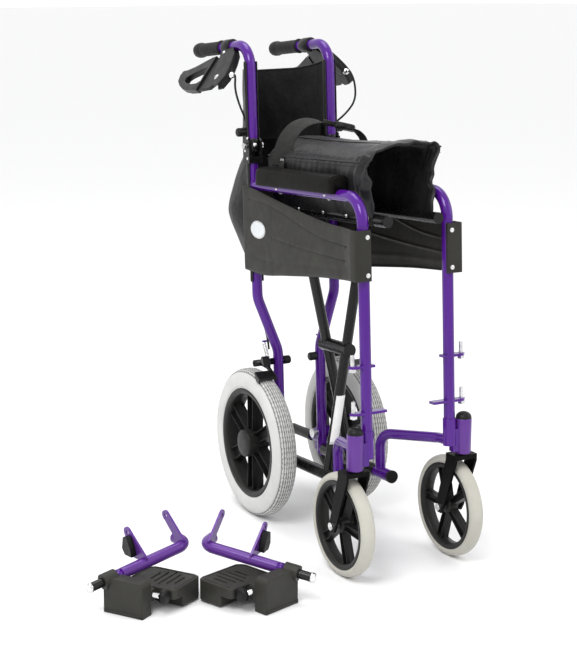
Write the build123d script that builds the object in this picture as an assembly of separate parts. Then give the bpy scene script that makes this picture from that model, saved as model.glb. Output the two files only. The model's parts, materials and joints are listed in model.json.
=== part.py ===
from build123d import *
import os
from math import asin, atan2, cos, degrees, radians, sin, tan

# Folding transport wheelchair, folded to its narrow width, with its two swing-away footrests lying
# on the floor beside it. Millimetres. X is across the chair (the sitter's right is -X), the chair
# faces -Y and +Z is up.
#
# Two construction frames are used before the pieces are moved to the part's own origin:
# - the floor frame: X = 0 on the chair's mid-plane, Y = 0 at the rear axle, Z = 0 on the floor;
# - the side-frame frame (x, u, v): u runs forward and v up along a side frame, which leans back.

# driving dimensions: stance
FRAME_SPACING = 185.4         # side frame to side frame, tube centres, folded
OPEN_SPACING = 428.8          # the same, unfolded
LEAN = 3.64                   # backward lean of the side frames, degrees
LEAN_FOOT = -6.7              # Y where the rear post's line meets the floor
FRAME_TUBE = 11.0             # radius of the side frame tube
WHEELBASE = 396.8             # castor wheel centre ahead of the rear axle

# driving dimensions: side frame, in u and v
FRONT_U = 441.7               # front upright
ARM_V = 703.7                 # armrest tube
ARM_BEND = 50.0
SLEEVE_TOP_V = 265.0          # reinforced foot of the front upright
FOOT_V = 214.0
LEG_INSET = 41.8              # how far the rear leg jogs inboard of the post
LEG_U = 5.5
LEG_LOW_V = 350.0
LEG_HIGH_V = 465.0
LEG_END_V = 112.0
NECK_X = 49.4                 # the gooseneck's down leg and the lower pivot tube
NECK_U = 252.0
NECK_V = 204.0
PIVOT_V = 122.0               # lower pivot tube
PIVOT_FRONT_U = 292.0
HANGER_V = (300.0, 389.0)     # hanger lugs for the footrests
LUG_OUT = 28.0                # hanger pin outboard of the upright
PIN_RADIUS = 4.0
SHANK_RADIUS = 3.6            # the pin's threaded end, through the lug and its nut
PIN_TOP = 24.0                # the pin's free end above its lug

# driving dimensions: cross brace and rails
BRACE_LOW = 258.0             # lower pivot to centre pivot
BRACE_UP = 288.0              # centre pivot to seat rail
FRONT_ARM_U = 208.0
REAR_ARM_U = 130.0
RAIL_RADIUS = 11.0
RAIL_U = (25.0, 470.0)
RUNNING_FIT = 0.05

# driving dimensions: seat and back fabric
FABRIC = 2.4
SEAT_U = (36.0, 430.0)
FLAP_LENGTH = 128.0
FLAP_OFFSET = 12.5            # fabric plane to rail centre
FLAP_LEAN = 3.0
HALF_BACK = 214.4             # post to middle of the back, unfolded
PAD_X = (75.6, 116.0)         # armrest pad, inner and outer side
BACK_START = 24.0             # where the back fabric's stiff part begins, from the post's centre
BACK_REACH = 180.0
BACK_LOWER_V = (505.0, 780.0)
BACK_UPPER_V = (788.0, 955.0)

# driving dimensions: canes and hand brakes
HINGE_V = 784.0
HANDLE_V = 990.0
HANDLE_DROP = 8.3
GRIP_U = (-80.0, -247.0)
GRIP_RADIUS = 16.0
BRAKE_TILT = 37.0             # the brake levers hang outboard by this angle

# driving dimensions: wheels
REAR_RADIUS = 158.0
REAR_RIM = 116.0
REAR_X = 110.0
REAR_WIDTH = 48.0
CASTOR_RADIUS = 101.5
CASTOR_RIM = 87.0
CASTOR_X = 121.6
CASTOR_WIDTH = 30.0
STEM_Y = -437.0
BRAKE_AXIS = (8.6, 327.0)     # Y and Z of the brake arm's pivot, through the rear leg
SHOE_GAP = 2.7
HOUSING_Z = (221.0, 292.0)

# derived
HALF = FRAME_SPACING / 2
LEG_X = HALF - LEG_INSET
FOLDED_ANGLE = degrees(asin(NECK_X / BRACE_LOW))
BRACE_HEIGHT = cos(radians(FOLDED_ANGLE))
CROSS_V = PIVOT_V + BRACE_LOW * BRACE_HEIGHT
RAIL_V = CROSS_V + BRACE_UP * BRACE_HEIGHT
RAIL_X = BRACE_UP * NECK_X / BRACE_LOW
BACK_ANGLE = degrees(atan2((HALF_BACK ** 2 - HALF ** 2) ** 0.5, HALF))

SIDE_FRAME_PLACE = Pos(0, LEAN_FOOT, 0) * Rot(-LEAN, 0, 0)
ORIGIN = Vector(-230.46, -104.03, 0)


def at(x, u, v):
    """A point of the side-frame frame, before the lean."""
    return Vector(x, -u, v)


def pipe(points, radius, bends=None, bore=0.0):
    """A round tube through the points, with a bend radius at each corner."""
    corners = [Vector(*p) for p in points]
    if bends is None:
        path = Polyline(*corners)
    else:
        path = FilletPolyline(*corners, radius=bends)
    section = Plane(origin=path @ 0, z_dir=path % 0) * Circle(radius)
    if bore:
        section -= Plane(origin=path @ 0, z_dir=path % 0) * Circle(bore)
    return sweep(section, path=path)


def rod(start, end, radius, bore=0.0):
    """A straight round bar, or a tube when it has a bore."""
    start, end = Vector(*start), Vector(*end)
    plane = Plane(origin=start, z_dir=end - start)
    ring = Circle(radius) - Circle(bore) if bore else Circle(radius)
    return extrude(plane * ring, (end - start).length)


def slab(outline, plane, low, high):
    """A flat plate: an outline on a plane, from one height to another along its normal."""
    face = make_face(Polyline(*outline, close=True))
    return extrude(plane.offset(low) * face, high - low)


def side_plane(x):
    """Plane for outlines in (u, v); its normal points to -X."""
    return Plane(origin=(x, 0, 0), x_dir=(0, -1, 0), z_dir=(-1, 0, 0))


def capsule(x, u, v, radius, length):
    """A bar along X centred on a point of the side-frame frame."""
    return rod(at(x - length / 2, u, v), at(x + length / 2, u, v), radius)


# ---------------------------------------------------------------- left side frame and its trim
def side_frame():
    upright = pipe([at(HALF, FRONT_U, FOOT_V), at(HALF, FRONT_U, ARM_V), at(HALF, 0, ARM_V)],
                   FRAME_TUBE, ARM_BEND)
    leg = pipe([at(HALF, 0, 748), at(HALF, 0, LEG_HIGH_V), at(LEG_X, LEG_U, LEG_LOW_V),
                at(LEG_X, LEG_U, LEG_END_V)], FRAME_TUBE + 0.02, [60, 60])
    neck = pipe([at(HALF, FRONT_U - 6, 221), at(HALF, 404, 219), at(NECK_X, NECK_U, NECK_V),
                 at(NECK_X, NECK_U, PIVOT_V)], FRAME_TUBE - 0.6, [30, 34])
    sleeve = rod(at(HALF, FRONT_U, FOOT_V - 2), at(HALF, FRONT_U, SLEEVE_TOP_V), 13)
    pivot = rod(at(NECK_X, PIVOT_FRONT_U, PIVOT_V), at(NECK_X, LEG_U, PIVOT_V), 9)
    socket = rod(at(NECK_X, PIVOT_FRONT_U - 1, PIVOT_V), at(NECK_X, NECK_U - 13, PIVOT_V), 12.5)
    frame = upright + leg + neck + sleeve + pivot + socket
    for v, inboard in zip(HANGER_V, (40, 16)):
        lug = slab([(HALF - inboard, FRONT_U - 9), (HALF + LUG_OUT, FRONT_U - 9),
                    (HALF + LUG_OUT + 9, FRONT_U), (HALF + LUG_OUT, FRONT_U + 9),
                    (HALF - inboard, FRONT_U + 9)],
                   Plane(origin=(0, 0, v), x_dir=(1, 0, 0), z_dir=(0, 0, 1)), -2.5, 2.5)
        frame += mirror(lug, about=Plane.XZ)
    for v in HANGER_V:
        frame -= rod(at(HALF + LUG_OUT, FRONT_U, v - 20), at(HALF + LUG_OUT, FRONT_U, v + 20),
                     SHANK_RADIUS)
    # gusset between the rear leg and the tipping lever, and the lever's stub
    frame += rod(at(LEG_X, 0, 141), at(LEG_X, -60, 141), 8)
    frame += slab([(2, 104), (2, 152), (-24, 134), (-24, 118)], side_plane(LEG_X), -3, 3)
    frame = SIDE_FRAME_PLACE * frame
    axle_boss = rod((LEG_X - 12, 0, REAR_RADIUS), (LEG_X + 17, 0, REAR_RADIUS), 12)
    bore = rod((LEG_X - 40, 0, REAR_RADIUS), (LEG_X + 60, 0, REAR_RADIUS), 6)
    bore += rod((LEG_X - 20, *BRAKE_AXIS), (LEG_X + 20, *BRAKE_AXIS), PIN_RADIUS)
    low, high = HOUSING_Z
    housing = rod((CASTOR_X, STEM_Y, low), (CASTOR_X, STEM_Y, high), 14)
    weld = Pos(CASTOR_X - 14, STEM_Y, 250) * Box(26, 14, 46)
    stem = rod((CASTOR_X, STEM_Y, low - 1), (CASTOR_X, STEM_Y, high - 10), 6 + RUNNING_FIT)
    return frame + axle_boss + housing + weld - bore - stem


def fasteners():
    """Hanger pins and nuts, panel screws, hinge bolt and rear axle bolt of one side."""
    pieces = []
    for v in HANGER_V:
        x = HALF + LUG_OUT
        pin = rod(at(x, FRONT_U, v - 10), at(x, FRONT_U, v + 3), SHANK_RADIUS)
        pieces.append(pin + rod(at(x, FRONT_U, v + 2.5), at(x, FRONT_U, v + PIN_TOP), PIN_RADIUS))
        nut = extrude(Plane(origin=at(x, FRONT_U, v - 8.5)) * RegularPolygon(7.5, 6), 6)
        pieces.append(nut - rod(at(x, FRONT_U, v - 10), at(x, FRONT_U, v), SHANK_RADIUS))
    for v in (561, 632):
        pieces.append(rod(at(HALF, FRONT_U + 14.1, v), at(HALF, FRONT_U + 17, v), 4.5))
    pin = capsule(HALF, 0, HINGE_V, 4, 38)
    heads = capsule(HALF - 20.5, 0, HINGE_V, 6.5, 3) + capsule(HALF + 20.5, 0, HINGE_V, 6.5, 3)
    pieces.append(pin + heads)
    leaning = [SIDE_FRAME_PLACE * p for p in pieces]
    axle = rod((LEG_X - 18, 0, REAR_RADIUS), (REAR_X + 27, 0, REAR_RADIUS), 6)
    head = rod((LEG_X - 24, 0, REAR_RADIUS), (LEG_X - 18, 0, REAR_RADIUS), 10)
    brake_bolt = rod((LEG_X - 22, *BRAKE_AXIS), (98.4, *BRAKE_AXIS), PIN_RADIUS)
    brake_bolt += rod((98.4, *BRAKE_AXIS), (102, *BRAKE_AXIS), 6.5)
    return Compound(children=leaning + [axle + head, brake_bolt])


def end_caps():
    """Black plastic: castor housing cap, pivot tube plug and the tipping lever's rubber foot."""
    low, high = HOUSING_Z
    dome = rod((CASTOR_X, STEM_Y, high), (CASTOR_X, STEM_Y, high + 8), 15)
    dome = fillet(dome.edges().group_by(Axis.Z)[-1], 6)
    plug = SIDE_FRAME_PLACE * rod(at(NECK_X, PIVOT_FRONT_U + 6, PIVOT_V),
                                  at(NECK_X, PIVOT_FRONT_U, PIVOT_V), 13)
    foot = SIDE_FRAME_PLACE * (rod(at(LEG_X, -38, 141), at(LEG_X, -128, 141), 11)
                               - rod(at(LEG_X, -30, 141), at(LEG_X, -60, 141), 8))
    pivot_end = rod((LEG_X - 28, *BRAKE_AXIS), (LEG_X - 11.2, *BRAKE_AXIS), 9)
    pivot_end = fillet(pivot_end.edges().sort_by(Axis.X)[0], 4)
    pivot_end -= rod((LEG_X - 22, *BRAKE_AXIS), (LEG_X, *BRAKE_AXIS), PIN_RADIUS)
    return Compound(children=[dome, plug, foot, pivot_end])


def side_panel():
    inner = HALF + 11.2
    outline = [(-25, 524), (60, 525), (219, 539), (438, 552), (438, 648), (365, 654), (268, 671),
               (166, 691), (58, 705), (-25, 708)]
    plate = slab(outline, side_plane(0), -inner - 3, -inner)
    wrap_v = (549, 646)
    wrap = rod(at(HALF, FRONT_U, wrap_v[0]), at(HALF, FRONT_U, wrap_v[1]), 14.1, 11.2)
    keep = Pos(HALF + 15, -FRONT_U - 15, sum(wrap_v) / 2) * Box(40, 40, 200)
    wrap = wrap & keep
    return SIDE_FRAME_PLACE * (plate + wrap)


def arm_pad():
    outline = [(46, 707), (356, 705), (362, 712), (356, 729), (68, 742), (46, 744)]
    pad = slab(outline, side_plane(0), -PAD_X[1], -PAD_X[0])
    groove = rod(at(HALF, -20, ARM_V), at(HALF, 375, ARM_V), FRAME_TUBE + 0.3)
    return SIDE_FRAME_PLACE * (pad - groove)


# ---------------------------------------------------------------- castor and rear wheel
def castor_fork():
    low = HOUSING_Z[0]
    stem = rod((CASTOR_X, STEM_Y, low - 8), (CASTOR_X, STEM_Y, HOUSING_Z[1] - 12), 6)
    crown = Pos(CASTOR_X, STEM_Y + 4, low - 6.5) * Box(50, 34, 9)
    fork = stem + crown
    axle_y = -WHEELBASE
    plane = Plane(origin=(0, 0, 0), x_dir=(0, 1, 0), z_dir=(1, 0, 0))
    outline = [(STEM_Y - 13, low - 2), (STEM_Y - 13, low - 16), (axle_y - 13, CASTOR_RADIUS),
               (axle_y - 6, CASTOR_RADIUS - 12), (axle_y + 6, CASTOR_RADIUS - 12),
               (axle_y + 13, CASTOR_RADIUS), (STEM_Y + 21, low - 16), (STEM_Y + 21, low - 2)]
    for offset in (-25, 20.5):
        fork += slab(outline, plane, CASTOR_X + offset, CASTOR_X + offset + 4.5)
    return fork - rod((CASTOR_X - 40, axle_y, CASTOR_RADIUS), (CASTOR_X + 40, axle_y, CASTOR_RADIUS), 4)


def castor_axle():
    y, z = -WHEELBASE, CASTOR_RADIUS
    bolt = rod((CASTOR_X - 31, y, z), (CASTOR_X + 31, y, z), 4)
    for start, end in ((-30, -25), (25, 30)):
        bolt += rod((CASTOR_X + start, y, z), (CASTOR_X + end, y, z), 7.5)
    return bolt


def tyre(x, y, radius, rim, width):
    """A rubber tyre with rounded shoulders, revolved about the wheel's axle."""
    shoulder = min(width * 0.28, (radius - rim) * 0.42)
    section = Pos(0, (radius + rim) / 2) * RectangleRounded(width, radius - rim, shoulder)
    across = Plane(origin=(x, y, radius), x_dir=(1, 0, 0), z_dir=(0, -1, 0))
    return revolve(across * section, Axis((x, y, radius), (1, 0, 0)))


def wheel_rim(x, y, radius, rim, width, hub, bore, spokes, first):
    """A moulded rim: outer band, flat spokes and a hub with a running bore."""
    lift = Pos(x, y, radius) * Rot(0, 90, 0)
    band = Cylinder(rim, width) - Cylinder(rim - 9, width)
    body = band + Cylinder(hub, width * 0.9)
    arm = Pos((rim - 8 + hub * 0.6) / 2, 0, 0) * Box(rim - 8 - hub * 0.6, 15, width * 0.42)
    for number in range(spokes):
        body += Rot(0, 0, 360 / spokes * number + first) * arm
    return lift * (body - Cylinder(bore, width * 2))


# ---------------------------------------------------------------- cane, grip and hand brake
def handle_end(u):
    return HANDLE_V + HANDLE_DROP * u / -GRIP_U[1]


def cane():
    tube = pipe([at(HALF, 0, HINGE_V - 12), at(HALF, 0, HANDLE_V),
                 at(HALF, GRIP_U[1] + 8, handle_end(GRIP_U[1] + 8))], FRAME_TUBE, 45)
    return SIDE_FRAME_PLACE * (tube - capsule(HALF, 0, HINGE_V, 4 + RUNNING_FIT, 60))


def grip():
    start, end = GRIP_U
    sleeve = rod(at(HALF, start, handle_end(start)), at(HALF, end, handle_end(end)), GRIP_RADIUS)
    inside = rod(at(HALF, start + 20, handle_end(start + 20)),
                 at(HALF, end + 8, handle_end(end + 8)), FRAME_TUBE)
    return SIDE_FRAME_PLACE * (sleeve - inside)


def cane_hinge():
    """Black clevis on top of the rear post, carrying the folding back."""
    base = slab([(-15, 748), (13, 748), (13, 762), (-15, 762)], side_plane(0), -HALF - 15.5, -HALF + 15.5)
    cheek = [(-15, 762), (13, 762), (13, 794), (2, 800), (2, 822), (-15, 822)]
    outer = slab(cheek, side_plane(0), -HALF - 15.5, -HALF - 11.4)
    inner = slab(cheek, side_plane(0), -HALF + 11.4, -HALF + 15.5)
    clevis = base + outer + inner
    clevis += capsule(HALF + 17, -6.5, 812, 8, 3)
    clevis -= capsule(HALF, 0, HINGE_V, 4, 60)
    clevis -= capsule(HALF + 15, -6.5, 812, 3 + RUNNING_FIT, 20)
    return SIDE_FRAME_PLACE * clevis


def back_release_knob():
    stem = rod(at(HALF + 11.8, -6.5, 812), at(HALF + 24, -6.5, 812), 3)
    head = rod(at(HALF + 19, -6.5, 812), at(HALF + 33, -6.5, 812), 9)
    head = fillet(head.edges().sort_by(Axis.X)[-1], 4)
    return SIDE_FRAME_PLACE * (stem + head)


def brake_plane():
    """Plane of the hand brake: x along u, y away from the handle's axis, outboard and down."""
    tilt = radians(BRAKE_TILT)
    away = Vector(sin(tilt), 0, -cos(tilt))
    along = Vector(0, -1, HANDLE_DROP / -GRIP_U[1])
    return Plane(origin=at(HALF, 0, HANDLE_V), x_dir=along, z_dir=along.cross(away))


BRAKE_PIVOT = (-96.0, 80.0)


def brake_mount():
    plane = brake_plane()
    web = slab([(-72, 9), (-52, 16), (-26, 40), (-16, 64), (-16, 86), (-24, 104), (-58, 108),
                (-92, 98), (-112, 74), (-112, 42), (-98, 20), (-92, 9)], plane, -9, 3)
    clamp = rod(at(HALF, -62, handle_end(-62)), at(HALF, -79.5, handle_end(-79.5)), 15.5)
    tube = rod(at(HALF, 40, handle_end(40)), at(HALF, -150, handle_end(-150)), FRAME_TUBE)
    hole = plane * Pos(*BRAKE_PIVOT) * Cylinder(3, 40)
    body = web + clamp - tube - hole
    space = rod(at(HALF, -79.7, handle_end(-79.7)), at(HALF, -140, handle_end(-140)), GRIP_RADIUS + 0.2)
    barrel = plane * Pos(-17, 74, -3) * Rot(0, 90, 0) * Cylinder(5, 14)
    return SIDE_FRAME_PLACE * (body - space + barrel)


def brake_lever():
    plane = brake_plane()
    outer = make_face(Polyline((-127, 32), (-180, 46), (-222, 56), (-238, 56), (-242, 66), (-226, 74),
                               (-212, 98), (-180, 112), (-134, 118), (-127, 112), close=True))
    inner = make_face(Polyline((-136, 62), (-150, 92), (-196, 88), (-206, 74), (-180, 62), (-142, 52),
                               close=True))
    loop = extrude(plane.offset(-7) * (outer - inner), 15)
    tongue = slab([(-128, 60), (-100, 68), (-84, 74), (-84, 88), (-100, 96), (-128, 104)],
                  plane, 3.3, 8)
    pin = plane * Pos(*BRAKE_PIVOT, -2.85) * Cylinder(3 - RUNNING_FIT, 13)
    return SIDE_FRAME_PLACE * (loop + tongue + pin)


def brake_cable(route):
    """A brake cable's outer, from the lever's barrel down to the brake arm: runs and tangent arcs."""
    plane = brake_plane()
    exit_point = plane.from_local_coords(Vector(-9.9, 74, -3))
    ahead = plane.from_local_coords(Vector(4, 74, -3))
    points = [exit_point, ahead] + [at(*p) for p in route]
    bends = []
    for before, corner, after in zip(points, points[1:], points[2:]):
        shorter = min((corner - before).length, (after - corner).length)
        turn = (corner - before).get_angle(after - corner)
        bends.append(0.45 * shorter / tan(radians(turn / 2)))
    print("brake cable bends", [round(b) for b in bends])
    return SIDE_FRAME_PLACE * pipe(points, 2.2, bends)


def brake_arm():
    """Rocking brake arm on the rear leg: pivot barrel, bent arm and the shoe over the tyre."""
    y, z = BRAKE_AXIS
    barrel = rod((LEG_X + 11.6, y, z), (98, y, z), 7.2)
    plane = Plane(origin=(0, 0, 0), x_dir=(0, 1, 0), z_dir=(1, 0, 0))
    arm = slab([(y, z - 5), (y, z + 6), (-22, z + 10), (-40, z + 4), (-58, z - 10), (-58, z - 26),
                (-24, z - 20)], plane, 87, 97)
    shoe = slab([(-26, z + 2), (-42, z - 3), (-62, z - 14), (-62, z - 30), (-26, z - 20)], plane, 88, 132)
    wedge = slab([(-30, z), (-24, z + 18), (-16, z + 20), (-14, z + 10)], plane, 90, 104)
    space = rod((80, 0, REAR_RADIUS), (140, 0, REAR_RADIUS), REAR_RADIUS + SHOE_GAP)
    bore = rod((LEG_X, y, z), (110, y, z), PIN_RADIUS + RUNNING_FIT)
    return barrel + arm + shoe + wedge - space - bore


# ---------------------------------------------------------------- cross brace, rails and fabric
def brace(x_low, arm_u, carries_pivot):
    """One brace: lower sleeve, slanting arm, centre boss and its seat rail on the far side."""
    x_top = -x_low * BRACE_UP / BRACE_LOW
    side = 1 if x_low > 0 else -1
    sleeve_u = (NECK_U - 15, LEG_U + 13)
    arm = rod(at(x_low, arm_u, PIVOT_V), at(x_top, arm_u, RAIL_V), 10.5)
    sleeve = rod(at(x_low, sleeve_u[0], PIVOT_V), at(x_low, sleeve_u[1], PIVOT_V), 12.5)
    rail = rod(at(x_top, RAIL_U[0], RAIL_V), at(x_top, RAIL_U[1], RAIL_V), RAIL_RADIUS)
    body = arm + sleeve + rail
    body -= rod(at(x_low, sleeve_u[0] + 1, PIVOT_V), at(x_low, sleeve_u[1] - 1, PIVOT_V),
                9 + RUNNING_FIT)
    rear_boss = (REAR_ARM_U - 12.5, REAR_ARM_U + 12.5)
    if carries_pivot:
        body += rod(at(0, arm_u + 15, CROSS_V), at(0, rear_boss[1] + 0.5, CROSS_V), 14)
        body += rod(at(0, arm_u, CROSS_V), at(0, rear_boss[0] - 6, CROSS_V), 8)
        body += rod(at(0, rear_boss[0] - 0.5, CROSS_V), at(0, rear_boss[0] - 6, CROSS_V), 13)
    else:
        body += rod(at(0, rear_boss[1], CROSS_V), at(0, rear_boss[0], CROSS_V), 14)
        body -= rod(at(0, rear_boss[1] + 9, CROSS_V), at(0, rear_boss[0] - 9, CROSS_V),
                    8 + RUNNING_FIT)
    return SIDE_FRAME_PLACE * body


def leaf_edge():
    """Top edge of the left seat flap: the line where the seat's flat top begins."""
    lean = radians(FLAP_LEAN)
    return (RAIL_X + FLAP_OFFSET * cos(lean) + FLAP_LENGTH * sin(lean),
            RAIL_V - FLAP_OFFSET * sin(lean) + FLAP_LENGTH * cos(lean))


def seat_flap():
    lean = FLAP_LEAN
    flap = Box(FABRIC, SEAT_U[1] - SEAT_U[0], FLAP_LENGTH + 6)
    flap = Pos(FLAP_OFFSET, 0, (FLAP_LENGTH - 14) / 2) * flap
    place = Pos(RAIL_X, -(SEAT_U[0] + SEAT_U[1]) / 2, RAIL_V) * Rot(0, lean, 0)
    return SIDE_FRAME_PLACE * place * flap


def seat_leaf(reach, low):
    """Half of the seat's top: from its flap's edge towards the middle."""
    edge_x, edge_v = leaf_edge()
    start = edge_x - 4
    depth = SEAT_U[1] - SEAT_U[0]
    leaf = Box(start - reach, depth, FABRIC)
    return SIDE_FRAME_PLACE * Pos((start + reach) / 2, -sum(SEAT_U) / 2, edge_v + low + FABRIC / 2) * leaf


def back_panel(low, high):
    middle = (BACK_START + BACK_REACH) / 2
    panel = Pos(-middle, 0, (low + high) / 2) * Box(BACK_REACH - BACK_START, FABRIC, high - low)
    return SIDE_FRAME_PLACE * Pos(HALF, 0, 0) * Rot(0, 0, -BACK_ANGLE) * panel


def lap_strap():
    edge_v = leaf_edge()[1]
    return SIDE_FRAME_PLACE * Pos(16, -122, edge_v + 1.8 + FABRIC + 1.2) * Box(44, 30, 1.8)


def strap_buckle():
    edge_v = leaf_edge()[1]
    buckle = fillet(Box(34, 44, 11).edges().filter_by(Axis.Z), 5)
    return SIDE_FRAME_PLACE * Pos(56, -122, edge_v + 1.8 + FABRIC + 6) * buckle


# ---------------------------------------------------------------- footrest, built lying on the floor
TUBE_TOP = Vector(14, 179, 85)      # bend at the upper end of the hanger tube
TUBE_FOOT = Vector(72, 31, 62)
DOWN = (TUBE_FOOT - TUBE_TOP).normalized()
RISE = (Vector(0, 0, 1) - DOWN * DOWN.Z).normalized()
ASIDE = RISE.cross(DOWN)
HANGER_BORE = 8.6
HOOK_HOLE = (42, 50)                # hook plate's hole: outboard of the tube, and above it
FLIP_AXIS = (40.0, 34.0)


def along_tube(distance, aside=0.0, rise=0.0):
    return TUBE_TOP + DOWN * distance + ASIDE * aside + RISE * rise


def hook_plate(distance, base):
    """A plate square to the hanger tube with the hole that drops on a hanger pin."""
    plane = Plane(origin=along_tube(distance), x_dir=ASIDE, z_dir=DOWN)
    aside, rise = HOOK_HOLE
    outline = [(base[0], 2), (base[1], 2), (base[1], 12), (aside + 10.5, rise - 3),
               (aside - 6, rise + 9), (base[0], 14)]
    plate = extrude(plane * (make_face(Polyline(*outline, close=True)) + Pos(aside, rise) * Circle(11)), 4)
    return plate - plane * Pos(aside, rise) * Cylinder(PIN_RADIUS + 0.3, 40)


def footrest_hanger():
    tube = pipe([along_tube(0, 42), along_tube(0), along_tube(154)], FRAME_TUBE, 24)
    hanger = tube + hook_plate(10, (-6, 24)) + hook_plate(99, (-9, 44))
    hanger -= rod(along_tube(60), along_tube(170), HANGER_BORE + RUNNING_FIT)
    plane = Plane(origin=along_tube(103), x_dir=ASIDE, z_dir=DOWN)
    return hanger - plane * Pos(30, 18) * Cylinder(3, 30)


def footrest_latch():
    plane = Plane(origin=along_tube(103.4), x_dir=ASIDE, z_dir=DOWN)
    handle = extrude(plane * make_face(Polyline((20, 10), (42, 10), (48, 22), (40, 46), (28, 46),
                                                (22, 28), close=True)), 12)
    return handle + plane * Pos(30, 18, -3) * Cylinder(3 - RUNNING_FIT, 14)


def footrest_tube():
    tube = rod(along_tube(90), along_tube(222), HANGER_BORE)
    return tube + rod(along_tube(222), along_tube(226), 9.5)


def footplate_bracket():
    box = Pos(42, 14, 33) * Box(84, 28, 66)
    box = fillet(box.edges().filter_by(Axis.Y).sort_by(Axis.Z)[-2:], 10)
    hollow = Pos(42, 13, 22) * Box(72, 18, 44.1)
    bracket = box - hollow + rod(along_tube(168), along_tube(196), 15)
    y, z = FLIP_AXIS
    for x in (2, 71.5):
        bracket += rod((x, y, z), (x + 10, y, z), 11.5) + Pos(x + 5, 32, z) * Box(10, 20, 20)
    bracket -= rod(along_tube(150), along_tube(240), HANGER_BORE)
    return bracket - rod((-40, y, z), (100, y, z), 5 + RUNNING_FIT)


def footplate():
    y, z = FLIP_AXIS
    barrel = rod((12.6, y, z), (70.9, y, z), 10.5)
    axle = rod((-24, y, z), (83.5, y, z), 5) + rod((-26, y, z), (-15, y, z), 12)
    top = [(13, y), (70.5, y), (70.5, 54), (76, 54), (76, 132), (66, 142), (-26, 142), (-38, 132),
           (-34, 54), (13, 54)]
    plate = slab(top, Plane.XY, z - 10, z + 11)
    far_rim = slab([(-35, 80), (76, 80), (76, 132), (66, 142), (-26, 142), (-38, 132)], Plane.XY, 2, z)
    grooves = [Pos(x, 98, z + 11) * Box(3, 72, 2.4) for x in range(-24, 72, 12)]
    body = barrel + plate + far_rim
    for groove in grooves:
        body -= groove
    return body + axle


# ---------------------------------------------------------------- assembly
POST_CABLE = [(95, -20, 800), (96, -20.5, 740), (98.5, -15, 680), (98.4, -15.2, 590), (98, -15, 510),
              (87, -14, 440), (66, -12, 385), (62, -15, 350)]
RIGHT_CABLE = [(134, 8, 902), (116, -10, 868), (98, -19, 838)] + POST_CABLE
LEFT_CABLE = [(148, 12, 905), (151, 8, 868), (137, -10, 840), (113, -25, 818)] + POST_CABLE


def left_side_pieces():
    """Everything that both sides have, modelled on the sitter's left."""
    return {
        "side_frame": side_frame(),
        "fasteners": fasteners(),
        "end_caps": end_caps(),
        "side_panel": side_panel(),
        "arm_pad": arm_pad(),
        "castor_fork": castor_fork(),
        "castor_axle": castor_axle(),
        "castor_tyre": tyre(CASTOR_X, -WHEELBASE, CASTOR_RADIUS, CASTOR_RIM, CASTOR_WIDTH),
        "castor_rim": wheel_rim(CASTOR_X, -WHEELBASE, CASTOR_RADIUS, CASTOR_RIM, 26, 18,
                                4 + RUNNING_FIT, 5, 54),
        "rear_tyre": tyre(REAR_X, 0, REAR_RADIUS, REAR_RIM, REAR_WIDTH),
        "rear_rim": wheel_rim(REAR_X, 0, REAR_RADIUS, REAR_RIM, 36, 30, 6 + RUNNING_FIT, 6, 0),
        "cane": cane(),
        "grip": grip(),
        "cane_hinge": cane_hinge(),
        "back_release_knob": back_release_knob(),
        "brake_mount": brake_mount(),
        "brake_lever": brake_lever(),
        "brake_arm": brake_arm(),
        "seat_flap": seat_flap(),
        "back_lower": back_panel(*BACK_LOWER_V),
        "back_upper": back_panel(*BACK_UPPER_V),
    }


def footrest_pieces():
    """One footrest, lying as it would on the sitter's left side of the pair."""
    return {
        "footrest_hanger": footrest_hanger(),
        "footrest_latch": footrest_latch(),
        "footrest_tube": footrest_tube(),
        "footplate_bracket": footplate_bracket(),
        "footplate": footplate(),
    }


def left_place():
    """Where the left footrest lies on the floor."""
    return Pos(-346, -508, 0) * Rot(0, 0, 18.4)


def right_place():
    return Pos(-551, -424, 0) * Rot(0, 0, -56.1)


def build():
    nodes = {}
    for name, piece in left_side_pieces().items():
        nodes[name + "_left"] = piece
        nodes[name + "_right"] = mirror(piece, about=Plane.YZ)
    nodes["brake_cable_left"] = brake_cable(LEFT_CABLE)
    nodes["brake_cable_right"] = mirror(brake_cable(RIGHT_CABLE), about=Plane.YZ)
    nodes["seat_leaf_left"] = seat_leaf(-7, 1.8)
    nodes["seat_leaf_right"] = mirror(seat_leaf(7, -1.2), about=Plane.YZ)
    nodes["lap_strap"] = lap_strap()
    nodes["strap_buckle"] = strap_buckle()
    nodes["brace_front"] = brace(-NECK_X, FRONT_ARM_U, True)
    nodes["brace_rear"] = brace(NECK_X, REAR_ARM_U, False)
    for name, piece in footrest_pieces().items():
        nodes[name + "_left"] = left_place() * piece
        nodes[name + "_right"] = right_place() * mirror(piece, about=Plane.YZ)
    return {name: Pos(*(ORIGIN * -1)) * piece for name, piece in nodes.items()}


if __name__ == "__main__":
    os.makedirs("parts", exist_ok=True)
    for name, piece in build().items():
        export_step(piece, f"parts/{name}.step")
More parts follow.
